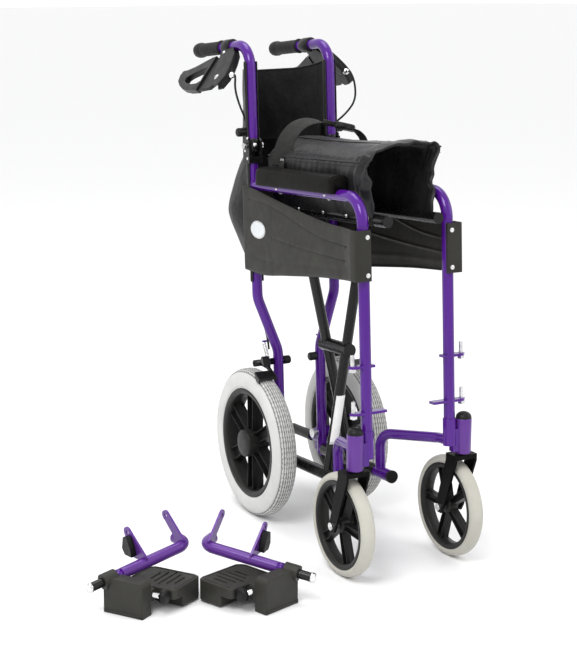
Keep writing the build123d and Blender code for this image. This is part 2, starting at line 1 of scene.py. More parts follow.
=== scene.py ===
import json
from math import atan2, cos, exp, pi, radians, sin
import bmesh
import bpy
from mathutils import Matrix, Vector, noise
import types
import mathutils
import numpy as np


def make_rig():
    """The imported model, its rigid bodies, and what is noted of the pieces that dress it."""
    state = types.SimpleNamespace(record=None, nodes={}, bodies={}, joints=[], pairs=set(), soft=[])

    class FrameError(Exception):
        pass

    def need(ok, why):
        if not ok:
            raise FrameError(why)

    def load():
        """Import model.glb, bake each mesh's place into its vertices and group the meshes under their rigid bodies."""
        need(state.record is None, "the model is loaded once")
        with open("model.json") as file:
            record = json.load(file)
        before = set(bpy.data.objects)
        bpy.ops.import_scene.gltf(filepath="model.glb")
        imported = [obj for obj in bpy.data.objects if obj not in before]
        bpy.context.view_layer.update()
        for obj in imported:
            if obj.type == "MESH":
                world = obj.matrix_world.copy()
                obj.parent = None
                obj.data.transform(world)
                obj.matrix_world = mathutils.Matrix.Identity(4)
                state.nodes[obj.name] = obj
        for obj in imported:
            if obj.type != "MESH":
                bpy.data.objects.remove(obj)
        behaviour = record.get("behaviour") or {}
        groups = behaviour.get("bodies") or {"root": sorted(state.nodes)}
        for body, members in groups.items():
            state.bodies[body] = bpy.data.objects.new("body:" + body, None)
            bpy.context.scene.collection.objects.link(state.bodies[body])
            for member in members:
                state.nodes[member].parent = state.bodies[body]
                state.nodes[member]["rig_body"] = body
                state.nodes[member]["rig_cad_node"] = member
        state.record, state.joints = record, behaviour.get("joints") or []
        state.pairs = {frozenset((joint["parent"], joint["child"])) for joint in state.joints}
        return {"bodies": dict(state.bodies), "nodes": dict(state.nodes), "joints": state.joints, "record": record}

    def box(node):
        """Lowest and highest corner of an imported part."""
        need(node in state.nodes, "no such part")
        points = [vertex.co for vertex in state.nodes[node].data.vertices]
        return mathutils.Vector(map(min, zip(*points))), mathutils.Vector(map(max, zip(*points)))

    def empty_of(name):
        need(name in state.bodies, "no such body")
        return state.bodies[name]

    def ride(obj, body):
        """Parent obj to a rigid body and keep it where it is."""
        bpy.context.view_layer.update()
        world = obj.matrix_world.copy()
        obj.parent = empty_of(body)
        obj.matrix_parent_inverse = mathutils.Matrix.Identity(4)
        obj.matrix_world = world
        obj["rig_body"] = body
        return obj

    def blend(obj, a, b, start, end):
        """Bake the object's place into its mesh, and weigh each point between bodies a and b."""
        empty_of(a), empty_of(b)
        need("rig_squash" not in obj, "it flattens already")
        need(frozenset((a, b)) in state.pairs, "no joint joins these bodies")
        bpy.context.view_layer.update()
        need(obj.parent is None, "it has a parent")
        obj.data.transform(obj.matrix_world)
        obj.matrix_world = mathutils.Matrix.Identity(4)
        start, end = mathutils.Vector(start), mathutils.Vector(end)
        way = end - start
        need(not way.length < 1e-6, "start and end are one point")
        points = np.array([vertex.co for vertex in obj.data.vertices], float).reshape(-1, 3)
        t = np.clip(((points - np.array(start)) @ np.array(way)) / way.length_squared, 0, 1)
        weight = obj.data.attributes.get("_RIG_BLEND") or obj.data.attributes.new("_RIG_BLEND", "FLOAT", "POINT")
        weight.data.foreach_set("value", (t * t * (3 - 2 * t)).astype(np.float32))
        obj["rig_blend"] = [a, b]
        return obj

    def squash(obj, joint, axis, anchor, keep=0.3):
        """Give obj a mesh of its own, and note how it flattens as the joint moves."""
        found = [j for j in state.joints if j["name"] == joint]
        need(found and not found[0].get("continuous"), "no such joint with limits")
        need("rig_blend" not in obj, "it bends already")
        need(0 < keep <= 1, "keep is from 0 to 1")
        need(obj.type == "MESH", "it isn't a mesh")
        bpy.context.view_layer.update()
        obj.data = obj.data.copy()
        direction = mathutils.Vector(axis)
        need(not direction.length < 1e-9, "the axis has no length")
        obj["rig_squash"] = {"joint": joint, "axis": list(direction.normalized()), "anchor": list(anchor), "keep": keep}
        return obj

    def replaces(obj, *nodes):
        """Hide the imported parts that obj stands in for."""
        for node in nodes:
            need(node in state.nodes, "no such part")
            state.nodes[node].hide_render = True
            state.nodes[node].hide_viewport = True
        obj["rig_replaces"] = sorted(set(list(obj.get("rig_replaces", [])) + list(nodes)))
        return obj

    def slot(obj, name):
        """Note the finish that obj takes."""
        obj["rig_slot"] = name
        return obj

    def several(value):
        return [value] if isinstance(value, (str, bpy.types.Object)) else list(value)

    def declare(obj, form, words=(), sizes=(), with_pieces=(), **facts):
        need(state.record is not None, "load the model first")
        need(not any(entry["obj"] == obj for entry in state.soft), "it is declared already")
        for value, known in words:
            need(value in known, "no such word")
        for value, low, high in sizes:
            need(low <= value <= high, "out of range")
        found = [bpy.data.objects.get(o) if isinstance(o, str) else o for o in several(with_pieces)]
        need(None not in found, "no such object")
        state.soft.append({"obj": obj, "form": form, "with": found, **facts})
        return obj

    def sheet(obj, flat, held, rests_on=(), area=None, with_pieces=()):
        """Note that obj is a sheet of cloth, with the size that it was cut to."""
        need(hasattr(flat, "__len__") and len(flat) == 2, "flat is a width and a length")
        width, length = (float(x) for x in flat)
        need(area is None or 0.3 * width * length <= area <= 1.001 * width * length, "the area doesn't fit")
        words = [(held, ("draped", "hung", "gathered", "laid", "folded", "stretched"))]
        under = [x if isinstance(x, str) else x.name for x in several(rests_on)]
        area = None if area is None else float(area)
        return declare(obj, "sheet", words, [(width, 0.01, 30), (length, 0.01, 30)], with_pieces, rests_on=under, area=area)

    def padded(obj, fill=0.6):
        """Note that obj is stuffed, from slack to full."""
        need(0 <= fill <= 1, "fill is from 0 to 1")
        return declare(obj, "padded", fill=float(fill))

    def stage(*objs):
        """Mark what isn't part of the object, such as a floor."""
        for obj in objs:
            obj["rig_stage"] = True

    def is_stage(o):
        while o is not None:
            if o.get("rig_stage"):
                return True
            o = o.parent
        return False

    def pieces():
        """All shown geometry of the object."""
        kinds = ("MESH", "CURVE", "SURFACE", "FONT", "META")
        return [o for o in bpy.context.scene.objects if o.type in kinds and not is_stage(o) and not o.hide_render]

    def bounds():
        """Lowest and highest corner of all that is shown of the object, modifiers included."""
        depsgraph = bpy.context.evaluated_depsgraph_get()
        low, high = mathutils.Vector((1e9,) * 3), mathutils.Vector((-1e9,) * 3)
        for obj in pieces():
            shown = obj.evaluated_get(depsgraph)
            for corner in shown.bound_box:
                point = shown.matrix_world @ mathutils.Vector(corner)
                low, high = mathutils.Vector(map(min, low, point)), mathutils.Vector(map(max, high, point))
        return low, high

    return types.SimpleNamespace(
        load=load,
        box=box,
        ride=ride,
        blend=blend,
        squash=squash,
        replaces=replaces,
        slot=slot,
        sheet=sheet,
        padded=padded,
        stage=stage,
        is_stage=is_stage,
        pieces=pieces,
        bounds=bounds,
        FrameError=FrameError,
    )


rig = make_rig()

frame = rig.load()
cad_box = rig.bounds()
nodes = frame["nodes"]

# ---- places, from the frame
wheel_right, wheel_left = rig.box("rear_tyre_right"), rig.box("rear_tyre_left")
MIDDLE = (wheel_right[0].x + wheel_left[1].x) / 2
AXLE_Y = (wheel_right[0].y + wheel_right[1].y) / 2
FLOOR = wheel_right[0].z
LEAN = radians(3.64)    # the side frames lean back
LEAN_FOOT = -6.7        # the rear posts' line at the floor, from the axle
HALF = 92.7             # from the mid-plane to a side frame's tubes
CANE_TOP = 990.0        # the handle's line, along the frame


def floor_point(x, y, z):
    """Millimetres from the mid-plane, the rear axle and the floor, to the row frame in metres."""
    return Vector((MIDDLE + x / 1000, AXLE_Y + y / 1000, FLOOR + z / 1000))


def side_point(x, u, v):
    """A point of a leaning side frame: u forward and v up along the frame."""
    y = LEAN_FOOT - u * cos(LEAN) + v * sin(LEAN)
    return floor_point(x, y, u * sin(LEAN) + v * cos(LEAN))


def mirrored(point, sign):
    """The same placing function for the sitter's left (1) or right (-1)."""
    return lambda x, y, z: point(sign * x, y, z)


def shift(point, a, b, c):
    """A step of (a, b, c) millimetres in a placing function's own directions."""
    return point(a, b, c) - point(0, 0, 0)


def axes(point):
    """Unit vectors along the three directions of a placing function."""
    return [shift(point, *step).normalized() for step in ((1, 0, 0), (0, 1, 0), (0, 0, 1))]


SIDES = (("left", 1), ("right", -1))
PLACES = [(side, sign, mirrored(side_point, sign)) for side, sign in SIDES]

# ---- meshes


def linked(name, data):
    """An object of some data, in the scene."""
    obj = bpy.data.objects.new(name, data)
    bpy.context.scene.collection.objects.link(obj)
    return obj


def new_object(name, verts, faces, material, recalc=True):
    """A smooth-shaded mesh; recalc merges its doubles and turns its faces outward."""
    mesh = bpy.data.meshes.new(name)
    mesh.from_pydata([tuple(v) for v in verts], [], faces)
    if recalc:
        b = bmesh.new()
        b.from_mesh(mesh)
        bmesh.ops.remove_doubles(b, verts=b.verts, dist=1e-7)
        bmesh.ops.recalc_face_normals(b, faces=b.faces)
        b.to_mesh(mesh)
        b.free()
    mesh.materials.append(material)
    for face in mesh.polygons:
        face.use_smooth = True
    return linked(name, mesh)


def loft(name, rings, material, closed=True, loop=False):
    """Quads between rings of equal length. closed joins each ring's ends, loop joins last to first."""
    count = len(rings[0])
    verts = [p for ring in rings for p in ring]
    faces = []
    last = len(rings) if loop else len(rings) - 1
    for i in range(last):
        a, b = i * count, ((i + 1) % len(rings)) * count
        for j in range(count if closed else count - 1):
            k = (j + 1) % count
            faces.append((a + j, a + k, b + k, b + j))
    if closed and not loop:
        faces.append(tuple(reversed(range(count))))
        faces.append(tuple(range(len(verts) - count, len(verts))))
    return new_object(name, verts, faces, material)


def bevel(obj, width, segments=2, angle=35):
    """Round the edges sharper than angle, by width in millimetres."""
    modifier = obj.modifiers.new("bevel", "BEVEL")
    modifier.width = width / 1000
    modifier.segments = segments
    modifier.limit_method = "ANGLE"
    modifier.angle_limit = radians(angle)
    modifier.harden_normals = True
    return obj


def rectangle(a, b, c, d):
    """The outline from a to b across and from c to d up."""
    return [(a, c), (b, c), (b, d), (a, d)]


def slab(name, outline, point, low, high, material, edge=1.5, segments=2):
    """A plate: an outline in the first two coordinates of point, from low to high in the third."""
    count = len(outline)
    verts = [point(a, b, low) for a, b in outline] + [point(a, b, high) for a, b in outline]
    faces = [tuple(range(count)), tuple(range(count, 2 * count))]
    faces += [(i, (i + 1) % count, count + (i + 1) % count, count + i) for i in range(count)]
    obj = new_object(name, verts, faces, material)
    return bevel(obj, edge, segments) if edge else obj


def spline(points, steps):
    """Points of a Catmull-Rom curve through the given points."""
    points = [Vector(p) for p in points]
    count = len(points)
    out = []
    for i in range(count - 1):
        b, c = points[i], points[i + 1]
        a = points[i - 1] if i else b * 2 - c
        d = points[i + 2] if i + 2 < count else c * 2 - b
        for s in range(steps):
            t = s / steps
            out.append(0.5 * ((2 * b) + (c - a) * t + (2 * a - 5 * b + 4 * c - d) * t * t
                              + (3 * b - a - 3 * c + d) * t ** 3))
    return out + [points[-1]]


def sweep(name, path, section, material, up=(0, 0, 1)):
    """A section (a, b) in metres carried along a path, with b kept near up."""
    rings = []
    up = Vector(up)
    count = len(path)
    for i, p in enumerate(path):
        ahead = path[min(i + 1, count - 1)] - path[max(i - 1, 0)]
        ahead.normalize()
        across = ahead.cross(up)
        if across.length < 0.2:
            across = ahead.cross(Vector((1, 0, 0)) if abs(ahead.x) < 0.8 else Vector((0, 1, 0)))
        across.normalize()
        lift = across.cross(ahead).normalized()
        rings.append([p + across * a + lift * b for a, b in section])
    return loft(name, rings, material)


def circle(radius, count=16):
    """A round section; radius in millimetres."""
    return [(radius / 1000 * cos(2 * pi * i / count), radius / 1000 * sin(2 * pi * i / count))
            for i in range(count)]


def lathe(name, profile, centre, axis, material, segments=48, wave=None):
    """A profile of (radius, along) in millimetres turned about an axis. wave shifts each radius."""
    axis = Vector(axis).normalized()
    side = axis.cross(Vector((0, 0, 1)) if abs(axis.z) < 0.9 else Vector((0, 1, 0))).normalized()
    other = axis.cross(side)
    rings = []
    for i in range(segments):
        angle = 2 * pi * i / segments
        out = side * cos(angle) + other * sin(angle)
        ring = []
        for j, (radius, along) in enumerate(profile):
            extra = wave(i, j) if wave else 0
            ring.append(centre + out * ((radius + extra) / 1000) + axis * (along / 1000))
        rings.append(ring)
    ends = profile[0] == profile[-1]
    rings = [ring[:-1] for ring in rings] if ends else rings
    return loft(name, rings, material, closed=ends, loop=True)


def join(name, objects):
    """One object of several, with their modifiers applied."""
    depsgraph = bpy.context.evaluated_depsgraph_get()
    out = bmesh.new()
    materials = []
    for o in objects:
        evaluated = o.evaluated_get(depsgraph)
        mesh = bpy.data.meshes.new_from_object(evaluated, depsgraph=depsgraph)
        mesh.transform(o.matrix_world)
        materials += [m for m in mesh.materials if m not in materials]
        index = [materials.index(m) for m in mesh.materials]
        for face in mesh.polygons:
            face.material_index = index[face.material_index] if index else 0
        out.from_mesh(mesh)
        bpy.data.objects.remove(o)
    mesh = bpy.data.meshes.new(name)
    out.to_mesh(mesh)
    out.free()
    for m in materials:
        mesh.materials.append(m)
    return linked(name, mesh)


def shell(name, rows, material, thickness, side, rounded=False):
    """A sheet from rows of points, thickened by millimetres to one side and joined."""
    count = len(rows[0])
    faces = [(i * count + j, i * count + j + 1, (i + 1) * count + j + 1, (i + 1) * count + j)
             for i in range(len(rows) - 1) for j in range(count - 1)]
    obj = new_object(name, [p for row in rows for p in row], faces, material, recalc=False)
    solid = obj.modifiers.new("thickness", "SOLIDIFY")
    solid.thickness = thickness / 1000
    solid.offset = side
    if rounded:
        smoother = obj.modifiers.new("subdivision", "SUBSURF")
        smoother.levels = smoother.render_levels = 1
    return join(name, [obj])


# ---- materials


def new_material(name):
    material = bpy.data.materials.new(name)
    material.use_nodes = True
    tree = material.node_tree
    return material, tree, tree.nodes["Principled BSDF"]


def settle(node, **values):
    """Set a node's inputs; an underscore in a name stands for a space."""
    for name, value in values.items():
        node.inputs[name.replace("_", " ")].default_value = value


def coordinates(tree, scale=1.0):
    source = tree.nodes.new("ShaderNodeTexCoord")
    mapping = tree.nodes.new("ShaderNodeMapping")
    settle(mapping, Scale=scale if hasattr(scale, "__len__") else (scale,) * 3)
    tree.links.new(source.outputs["Object"], mapping.inputs["Vector"])
    return mapping.outputs["Vector"]


def noise_node(tree, vector, scale, detail=3.0, roughness=0.5):
    node = tree.nodes.new("ShaderNodeTexNoise")
    settle(node, Scale=scale, Detail=detail, Roughness=roughness)
    tree.links.new(vector, node.inputs["Vector"])
    return node.outputs["Fac"]


def ramp(tree, value, stops):
    node = tree.nodes.new("ShaderNodeValToRGB")
    while len(node.color_ramp.elements) < len(stops):
        node.color_ramp.elements.new(0.5)
    for element, (position, color) in zip(node.color_ramp.elements, stops):
        element.position = position
        element.color = (*color, 1) if hasattr(color, "__len__") else (color, color, color, 1)
    tree.links.new(value, node.inputs["Fac"])
    return node.outputs["Color"]


def drive(tree, shader, name, value, *stops):
    """Feed an input of the shader from a value, through a ramp of (position, result) stops."""
    tree.links.new(ramp(tree, value, stops), shader.inputs[name])


def multiply(tree, a, b):
    node = tree.nodes.new("ShaderNodeMath")
    node.operation = "MULTIPLY"
    tree.links.new(a, node.inputs[0])
    tree.links.new(b, node.inputs[1])
    return node.outputs["Value"]


def bump(tree, shader, heights):
    """heights: (height socket, strength, distance in mm), laid over each other."""
    normal = None
    for height, strength, distance in heights:
        node = tree.nodes.new("ShaderNodeBump")
        settle(node, Strength=strength, Distance=distance / 1000)
        tree.links.new(height, node.inputs["Height"])
        if normal:
            tree.links.new(normal, node.inputs["Normal"])
        normal = node.outputs["Normal"]
    tree.links.new(normal, shader.inputs["Normal"])


def paint(name, dark, light, roughness, metallic, coat, specular=0.24):
    """Gloss enamel: slight colour drift, orange peel, smears and a clear coat."""
    material, tree, shader = new_material(name)
    vector = coordinates(tree)
    drift, smear = noise_node(tree, vector, 9, 4), noise_node(tree, vector, 60, 5, 0.65)
    drive(tree, shader, "Base Color", drift, (0.3, dark), (0.75, light))
    drive(tree, shader, "Roughness", smear, (0.35, roughness), (0.8, roughness + 0.05))
    settle(shader, Metallic=metallic, Coat_Weight=coat, Coat_Roughness=0.07, Specular_IOR_Level=specular)
    peel = noise_node(tree, vector, 420, 2)
    bump(tree, shader, [(peel, 0.03, 0.08)])
    return material


def plastic(name, dark, light, roughness, grain=900, strength=0.25, specular=0.2):
    """Moulded plastic or rubber: fine grain, colour drift, rubbed patches and light scratches."""
    material, tree, shader = new_material(name)
    vector = coordinates(tree)
    drift, wear = noise_node(tree, vector, 14, 5, 0.6), noise_node(tree, vector, 45, 6, 0.7)
    drive(tree, shader, "Base Color", drift, (0.3, dark), (0.72, light))
    drive(tree, shader, "Roughness", wear, (0.3, roughness + 0.1), (0.7, roughness - 0.08))
    settle(shader, Specular_IOR_Level=specular)
    skin = noise_node(tree, vector, grain, 2)
    scratches = noise_node(tree, coordinates(tree, (6, 60, 220)), 3, 4, 0.7)
    bump(tree, shader, [(skin, strength, 0.3), (scratches, 0.06, 0.3)])
    return material


def metal(name, color, roughness=0.18):
    """Plated metal: faint stains and brushing."""
    material, tree, shader = new_material(name)
    vector = coordinates(tree)
    stain = noise_node(tree, vector, 70, 5, 0.6)
    darker = tuple(c * 0.72 for c in color)
    drive(tree, shader, "Base Color", stain, (0.35, darker), (0.6, color))
    settle(shader, Metallic=1)
    brushed = noise_node(tree, coordinates(tree, (400, 400, 60)), 6, 3)
    drive(tree, shader, "Roughness", brushed, (0.3, roughness), (0.8, roughness + 0.16))
    bump(tree, shader, [(brushed, 0.08, 0.1)])
    return material


def weave(tree, vector, pitch):
    """Plain weave: crossed threads, from waves along three directions; pitch in millimetres."""
    total = None
    for axis in ("X", "Y", "Z"):
        wave = tree.nodes.new("ShaderNodeTexWave")
        wave.bands_direction = axis
        settle(wave, Scale=50 / pitch, Distortion=0.6, Detail=1)
        tree.links.new(vector, wave.inputs["Vector"])
        value = wave.outputs["Fac"]
        total = multiply(tree, total, value) if total else value
    return total


def nylon(name, dark, light, roughness, pitch=2.2):
    """Coated woven nylon: threads, puckers, creases and a slight sheen."""
    material, tree, shader = new_material(name)
    vector = coordinates(tree)
    drift, wear = noise_node(tree, vector, 22, 5, 0.6), noise_node(tree, vector, 90, 4)
    drive(tree, shader, "Base Color", drift, (0.3, dark), (0.75, light))
    drive(tree, shader, "Roughness", wear, (0.3, roughness), (0.8, roughness + 0.18))
    settle(shader, Specular_IOR_Level=0.3, Sheen_Weight=0.12, Sheen_Roughness=0.35,
           Sheen_Tint=(0.75, 0.74, 0.76, 1))
    threads = weave(tree, vector, pitch)
    puckers = noise_node(tree, vector, 55, 4, 0.55)
    creases = noise_node(tree, vector, 160, 3, 0.6)
    bump(tree, shader, [(puckers, 0.5, 2.2), (creases, 0.28, 0.8), (threads, 0.35, 0.35)])
    return material


PURPLE = paint("purple_enamel", (0.058, 0.0055, 0.180), (0.068, 0.007, 0.205), 0.16, 0.1, 0.25)
PURPLE_PALE = paint("purple_enamel_flat", (0.085, 0.022, 0.20), (0.10, 0.028, 0.225), 0.3, 0.1, 0.2)
BLACK_STEEL = paint("black_enamel", (0.003, 0.003, 0.003), (0.007, 0.007, 0.007), 0.26, 0.0, 0.12)
FORK_STEEL = paint("fork_enamel", (0.002, 0.002, 0.002), (0.004, 0.004, 0.004), 0.42, 0.0, 0.02, 0.05)
BLACK = plastic("black_plastic", (0.004, 0.004, 0.004), (0.010, 0.010, 0.0095), 0.4)
GREY = plastic("grey_plastic", (0.017, 0.0165, 0.0138), (0.0235, 0.023, 0.0192), 0.5, 700, 0.22)
FOOT_GREY = plastic("footplate_plastic", (0.024, 0.0235, 0.0205), (0.032, 0.0315, 0.0275), 0.5, 700, 0.22)
PAD_GREY = plastic("pad_skin", (0.0055, 0.0052, 0.0048), (0.0095, 0.0090, 0.0082), 0.42, 1100, 0.2, 0.04)
SILVER = metal("bright_zinc", (0.72, 0.72, 0.72), 0.2)
CHROME = metal("chrome_plate", (0.82, 0.82, 0.83), 0.08)
TYRE = plastic("grey_rubber", (0.50, 0.50, 0.49), (0.60, 0.60, 0.585), 0.75, 500, 0.35)
RIM = plastic("rim_plastic", (0.011, 0.011, 0.0105), (0.018, 0.018, 0.0172), 0.42)
TREAD = plastic("tread_rubber", (0.46, 0.46, 0.45), (0.56, 0.56, 0.545), 0.85, 350, 0.5)
# the tread rubber darkened for the grooves: painted shade in the recesses
TREAD_GROOVE_SHADE = plastic("tread_groove", (0.16, 0.16, 0.158), (0.24, 0.24, 0.236), 0.9, 350, 0.5)
CASTOR_RUBBER = plastic("castor_rubber", (0.40, 0.39, 0.345), (0.46, 0.45, 0.40), 0.6, 800, 0.15)
FOAM = plastic("grip_rubber", (0.006, 0.006, 0.006), (0.013, 0.013, 0.012), 0.55, 500, 0.4)
NYLON = nylon("seat_nylon", (0.0062, 0.006, 0.0065), (0.0125, 0.012, 0.0125), 0.36)
NYLON_DULL = nylon("back_nylon", (0.005, 0.005, 0.0056), (0.011, 0.011, 0.0115), 0.55)
WEBBING = nylon("webbing", (0.0075, 0.0072, 0.0068), (0.0145, 0.014, 0.0132), 0.6, 1.6)
CABLE = plastic("cable_sheath", (0.012, 0.012, 0.012), (0.02, 0.02, 0.02), 0.35, 1200, 0.1)
THREAD = plastic("thread", (0.35, 0.34, 0.33), (0.5, 0.49, 0.47), 0.8, 900, 0.3)
LABEL = plastic("blank_label", (0.62, 0.62, 0.61), (0.72, 0.72, 0.71), 0.4, 300, 0.1)
DISC = plastic("blank_disc", (0.55, 0.57, 0.58), (0.66, 0.68, 0.69), 0.25, 300, 0.05)

CAD_MATERIALS = (
    (PURPLE, "side_frame cane"), (PURPLE_PALE, "footrest_hanger"), (SILVER, "fasteners castor_axle"),
    (BLACK_STEEL, "cane_hinge brake_arm footrest_tube brace_front brace_rear"), (FORK_STEEL, "castor_fork"),
    (BLACK, "end_caps brake_mount brake_lever back_release_knob footrest_latch"),
    (BLACK, "rear_rim castor_rim strap_buckle"),
    (GREY, "side_panel"), (FOOT_GREY, "footplate_bracket footplate"), (PAD_GREY, "arm_pad"), (FOAM, "grip"),
    (TYRE, "rear_tyre"), (CASTOR_RUBBER, "castor_tyre"), (NYLON, "seat_flap seat_leaf"),
    (NYLON_DULL, "back_lower back_upper"), (CABLE, "brake_cable"), (WEBBING, "lap_strap"))
SOFT_EDGED = ("castor_fork", "cane_hinge", "brake_mount", "brake_arm", "footplate_bracket", "footrest_latch",
              "castor_axle")
material_of = {name: material for material, names in CAD_MATERIALS for name in names.split()}
for name, node in nodes.items():
    base = name.removesuffix("_left").removesuffix("_right")
    node.data.materials.clear()
    node.data.materials.append(material_of[base])
    if base in SOFT_EDGED:
        bevel(node, 0.8, 2, 40)

# ---- camera, floor and light
camera = bpy.data.cameras.new("camera")
camera.lens = 88.25
camera.sensor_width = 36
camera.clip_end = 50
camera_object = linked("camera", camera)
camera_object.location = floor_point(-1575.4, -2903.7, 1146.7)
AZIMUTH, ELEVATION, ROLL = radians(28.007), radians(12.728), radians(-0.128)
ahead = Vector((sin(AZIMUTH) * cos(ELEVATION), cos(AZIMUTH) * cos(ELEVATION), -sin(ELEVATION)))
rolled = Matrix.Rotation(-ROLL, 3, "Z").to_quaternion()
camera_object.rotation_mode = "QUATERNION"
camera_object.rotation_quaternion = ahead.to_track_quat("-Z", "Y") @ rolled
bpy.context.scene.camera = camera_object

floor_material, _, floor_shader = new_material("floor")
settle(floor_shader, Base_Color=(0.86, 0.86, 0.865, 1), Roughness=0.6)
floor_verts = [Vector((x, y, FLOOR - 0.0002)) for x, y in ((-30, -12), (30, -12), (30, 40), (-30, 40))]
floor = new_object("floor", floor_verts, [(0, 1, 2, 3)], floor_material, recalc=False)
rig.stage(floor)

world = bpy.data.worlds.new("world")
world.use_nodes = True
settle(world.node_tree.nodes["Background"], Color=(1, 1, 1, 1), Strength=1.08)
bpy.context.scene.world = world


def area_light(name, place, target, size, power):
    light = bpy.data.lights.new(name, "AREA")
    light.size = size
    light.energy = power
    obj = linked(name, light)
    obj.location = place
    obj.rotation_mode = "QUATERNION"
    obj.rotation_quaternion = (Vector(target) - Vector(place)).to_track_quat("-Z", "Y")


area_light("key", (-1.6, -1.4, 2.9), (0, 0, 0.5), 1.4, 60)
area_light("fill", (2.4, -1.8, 1.8), (0, 0, 0.5), 1.8, 14)
area_light("top", (0.2, 0.6, 3.2), (0, 0, 0.4), 1.6, 30)
bpy.context.scene.view_settings.view_transform = "Standard"

# ---- wheels


def spoke_point(centre, angle):
    """(radius, sideways, along the axle) in millimetres, to the row frame."""
    out = Vector((0, sin(angle), cos(angle)))
    side = Vector((0, cos(angle), -sin(angle)))
    return lambda r, s, a: centre + (out * r + side * s + Vector((a, 0, 0))) / 1000


def symmetric(half):
    """A tyre or rim section from one half, (radius, along), closed."""
    return half + [(r, -a) for r, a in reversed(half)] + half[:1]


# the rear tyre's crown, from its middle: rows of faces, a row's width, and rows from groove to groove
CROWN_ROWS, CROWN_ROW, GROOVE_PITCH = 22, 0.8, 6
CROWN_EDGE, CROWN_REACH = 150, 17.5     # the tread lies outside this radius, this near the middle


def make_tyre(name, centre, half, material, segments, cut=None):
    """A tyre; with a cut its crown has the tread rubber, with a darker copy of it in the grooves as painted shade."""
    tyre = lathe(name, symmetric(half), centre, (1, 0, 0), material, segments, cut)
    if cut:
        tyre.data.materials.append(TREAD)
        tyre.data.materials.append(TREAD_GROOVE_SHADE)
        for face in tyre.data.polygons:
            out = (face.center - centre).yz.length * 1000
            reach = abs(face.center.x - centre.x) * 1000
            if out > CROWN_EDGE and reach < CROWN_REACH:
                turn = atan2(face.center.y - centre.y, face.center.z - centre.z)
                row = int(reach / CROWN_ROW) % GROOVE_PITCH
                slot = round(turn / (2 * pi) * segments)
                sunk = row in (2, 3) or row in (1, 4) and slot % 4 < 2
                # groove faces take the darker rubber: painted shade
                face.material_index = 2 if sunk else 1
    return tyre


def make_rim(name, centre, sign, band, spokes, first, reach, widths, depth, hub):
    """Moulded rim: an outer band, channelled spokes and a domed hub."""
    pieces = [lathe("band", symmetric(band), centre, (1, 0, 0), RIM, 96)]
    inner, outer = reach
    near, far = widths
    for number in range(spokes):
        point = spoke_point(centre, 2 * pi * number / spokes + first)
        web = [(inner, -near / 2), (outer - 8, -far / 2), (outer, -far / 2 - 6), (outer, far / 2 + 6),
               (outer - 8, far / 2), (inner, near / 2)]
        pieces.append(slab("web", web, point, -depth * 0.3, depth * 0.3, BLACK, 1.2))
        for edge in (-1, 1):
            rib = [(inner, edge * near / 2), (outer, edge * far / 2),
                   (outer, edge * (far / 2 - 2)), (inner, edge * (near / 2 - 2))]
            pieces.append(slab("rib", rib, point, -depth, depth, BLACK, 0.7))
    profile = [(r, sign * a) for r, a in hub]
    pieces.append(lathe("hub", profile, centre, (1, 0, 0), RIM, 40))
    return join(name, pieces)


def tread_cut(i, j):
    """Running grooves with toothed edges, cut into the crown of the rear tyre."""
    half = len(REAR_HALF)
    row = half - j if j < half else j - half + 1
    if row > CROWN_ROWS:
        return 0.0
    if row % GROOVE_PITCH == 3:
        return -1.3
    return -0.9 if row % GROOVE_PITCH in (2, 4) and i % 4 < 2 else 0.0


CROWN = [(158 - 6.6 * (row / CROWN_ROWS) ** 3.2, CROWN_ROW * row) for row in range(CROWN_ROWS, 0, -1)]
REAR_HALF = [(116, 18), (117.5, 21.5), (124, 23.6), (138, 23.4), (147, 20.6)] + CROWN
CASTOR_HALF = [(86, 11), (87.5, 13.6), (91, 14.8), (95.5, 14), (99, 11), (100.9, 6.5), (101.5, 2)]
REAR_BAND = [(116.6, 17), (116.8, 20.2), (114.5, 21.2), (106, 20), (103.5, 17), (103, 9), (101.5, 2)]
CASTOR_BAND = [(86.8, 10), (87, 13.2), (85.4, 14), (78, 12.6), (76, 9), (75, 2)]
REAR_HUB = [(0, -19), (24, -19), (29, -14), (29, 25.5), (28.2, 28.5), (26, 30), (12, 31), (0, 31.3)]
CASTOR_HUB = [(4.2, -12), (12, -12), (16, -9), (16, 9), (12, 12), (4.2, 12)]

for side, sign in SIDES:
    for kind, centre, halves, band, reach, widths, depth, hub, body in (
            ("rear", floor_point(sign * 110, 0, 158), REAR_HALF, REAR_BAND, (26, 104), (22, 27), 13,
             REAR_HUB, "rear_wheel_" + side),
            ("castor", floor_point(sign * 121.6, -396.8, 101.5), CASTOR_HALF, CASTOR_BAND, (13, 77),
             (13, 18), 9, CASTOR_HUB, "castor_" + side)):
        rear = kind == "rear"
        tread = make_tyre(f"{kind}_tyre_{side}_tread", centre, halves, TYRE if rear else CASTOR_RUBBER,
                          360 if rear else 120, tread_cut if rear else None)
        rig.ride(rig.slot(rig.replaces(tread, f"{kind}_tyre_{side}"), "grey_tyre"), body)
        first = 0 if rear else sign * pi / 2
        rim = make_rim(f"{kind}_wheel_{side}", centre, sign, band, 6 if rear else 5, first, reach, widths,
                       depth, hub)
        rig.ride(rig.slot(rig.replaces(rim, f"{kind}_rim_{side}"), "black_plastic"), body)

# ---- screws, washers and welds


def screw(name, centre, axis, radius, body):
    """A domed screw head with a recess and a washer under it."""
    section = ((0, 2.2), (0.2, 2.2), (0.24, 1.584), (0.5, 2.024), (0.85, 1.21), (1, 0.22), (1.3, 0),
               (1.3, -0.8), (0, -0.8))
    obj = lathe(name, [(r * radius, a) for r, a in section], centre, axis, SILVER, 24)
    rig.ride(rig.slot(obj, "chrome"), body)


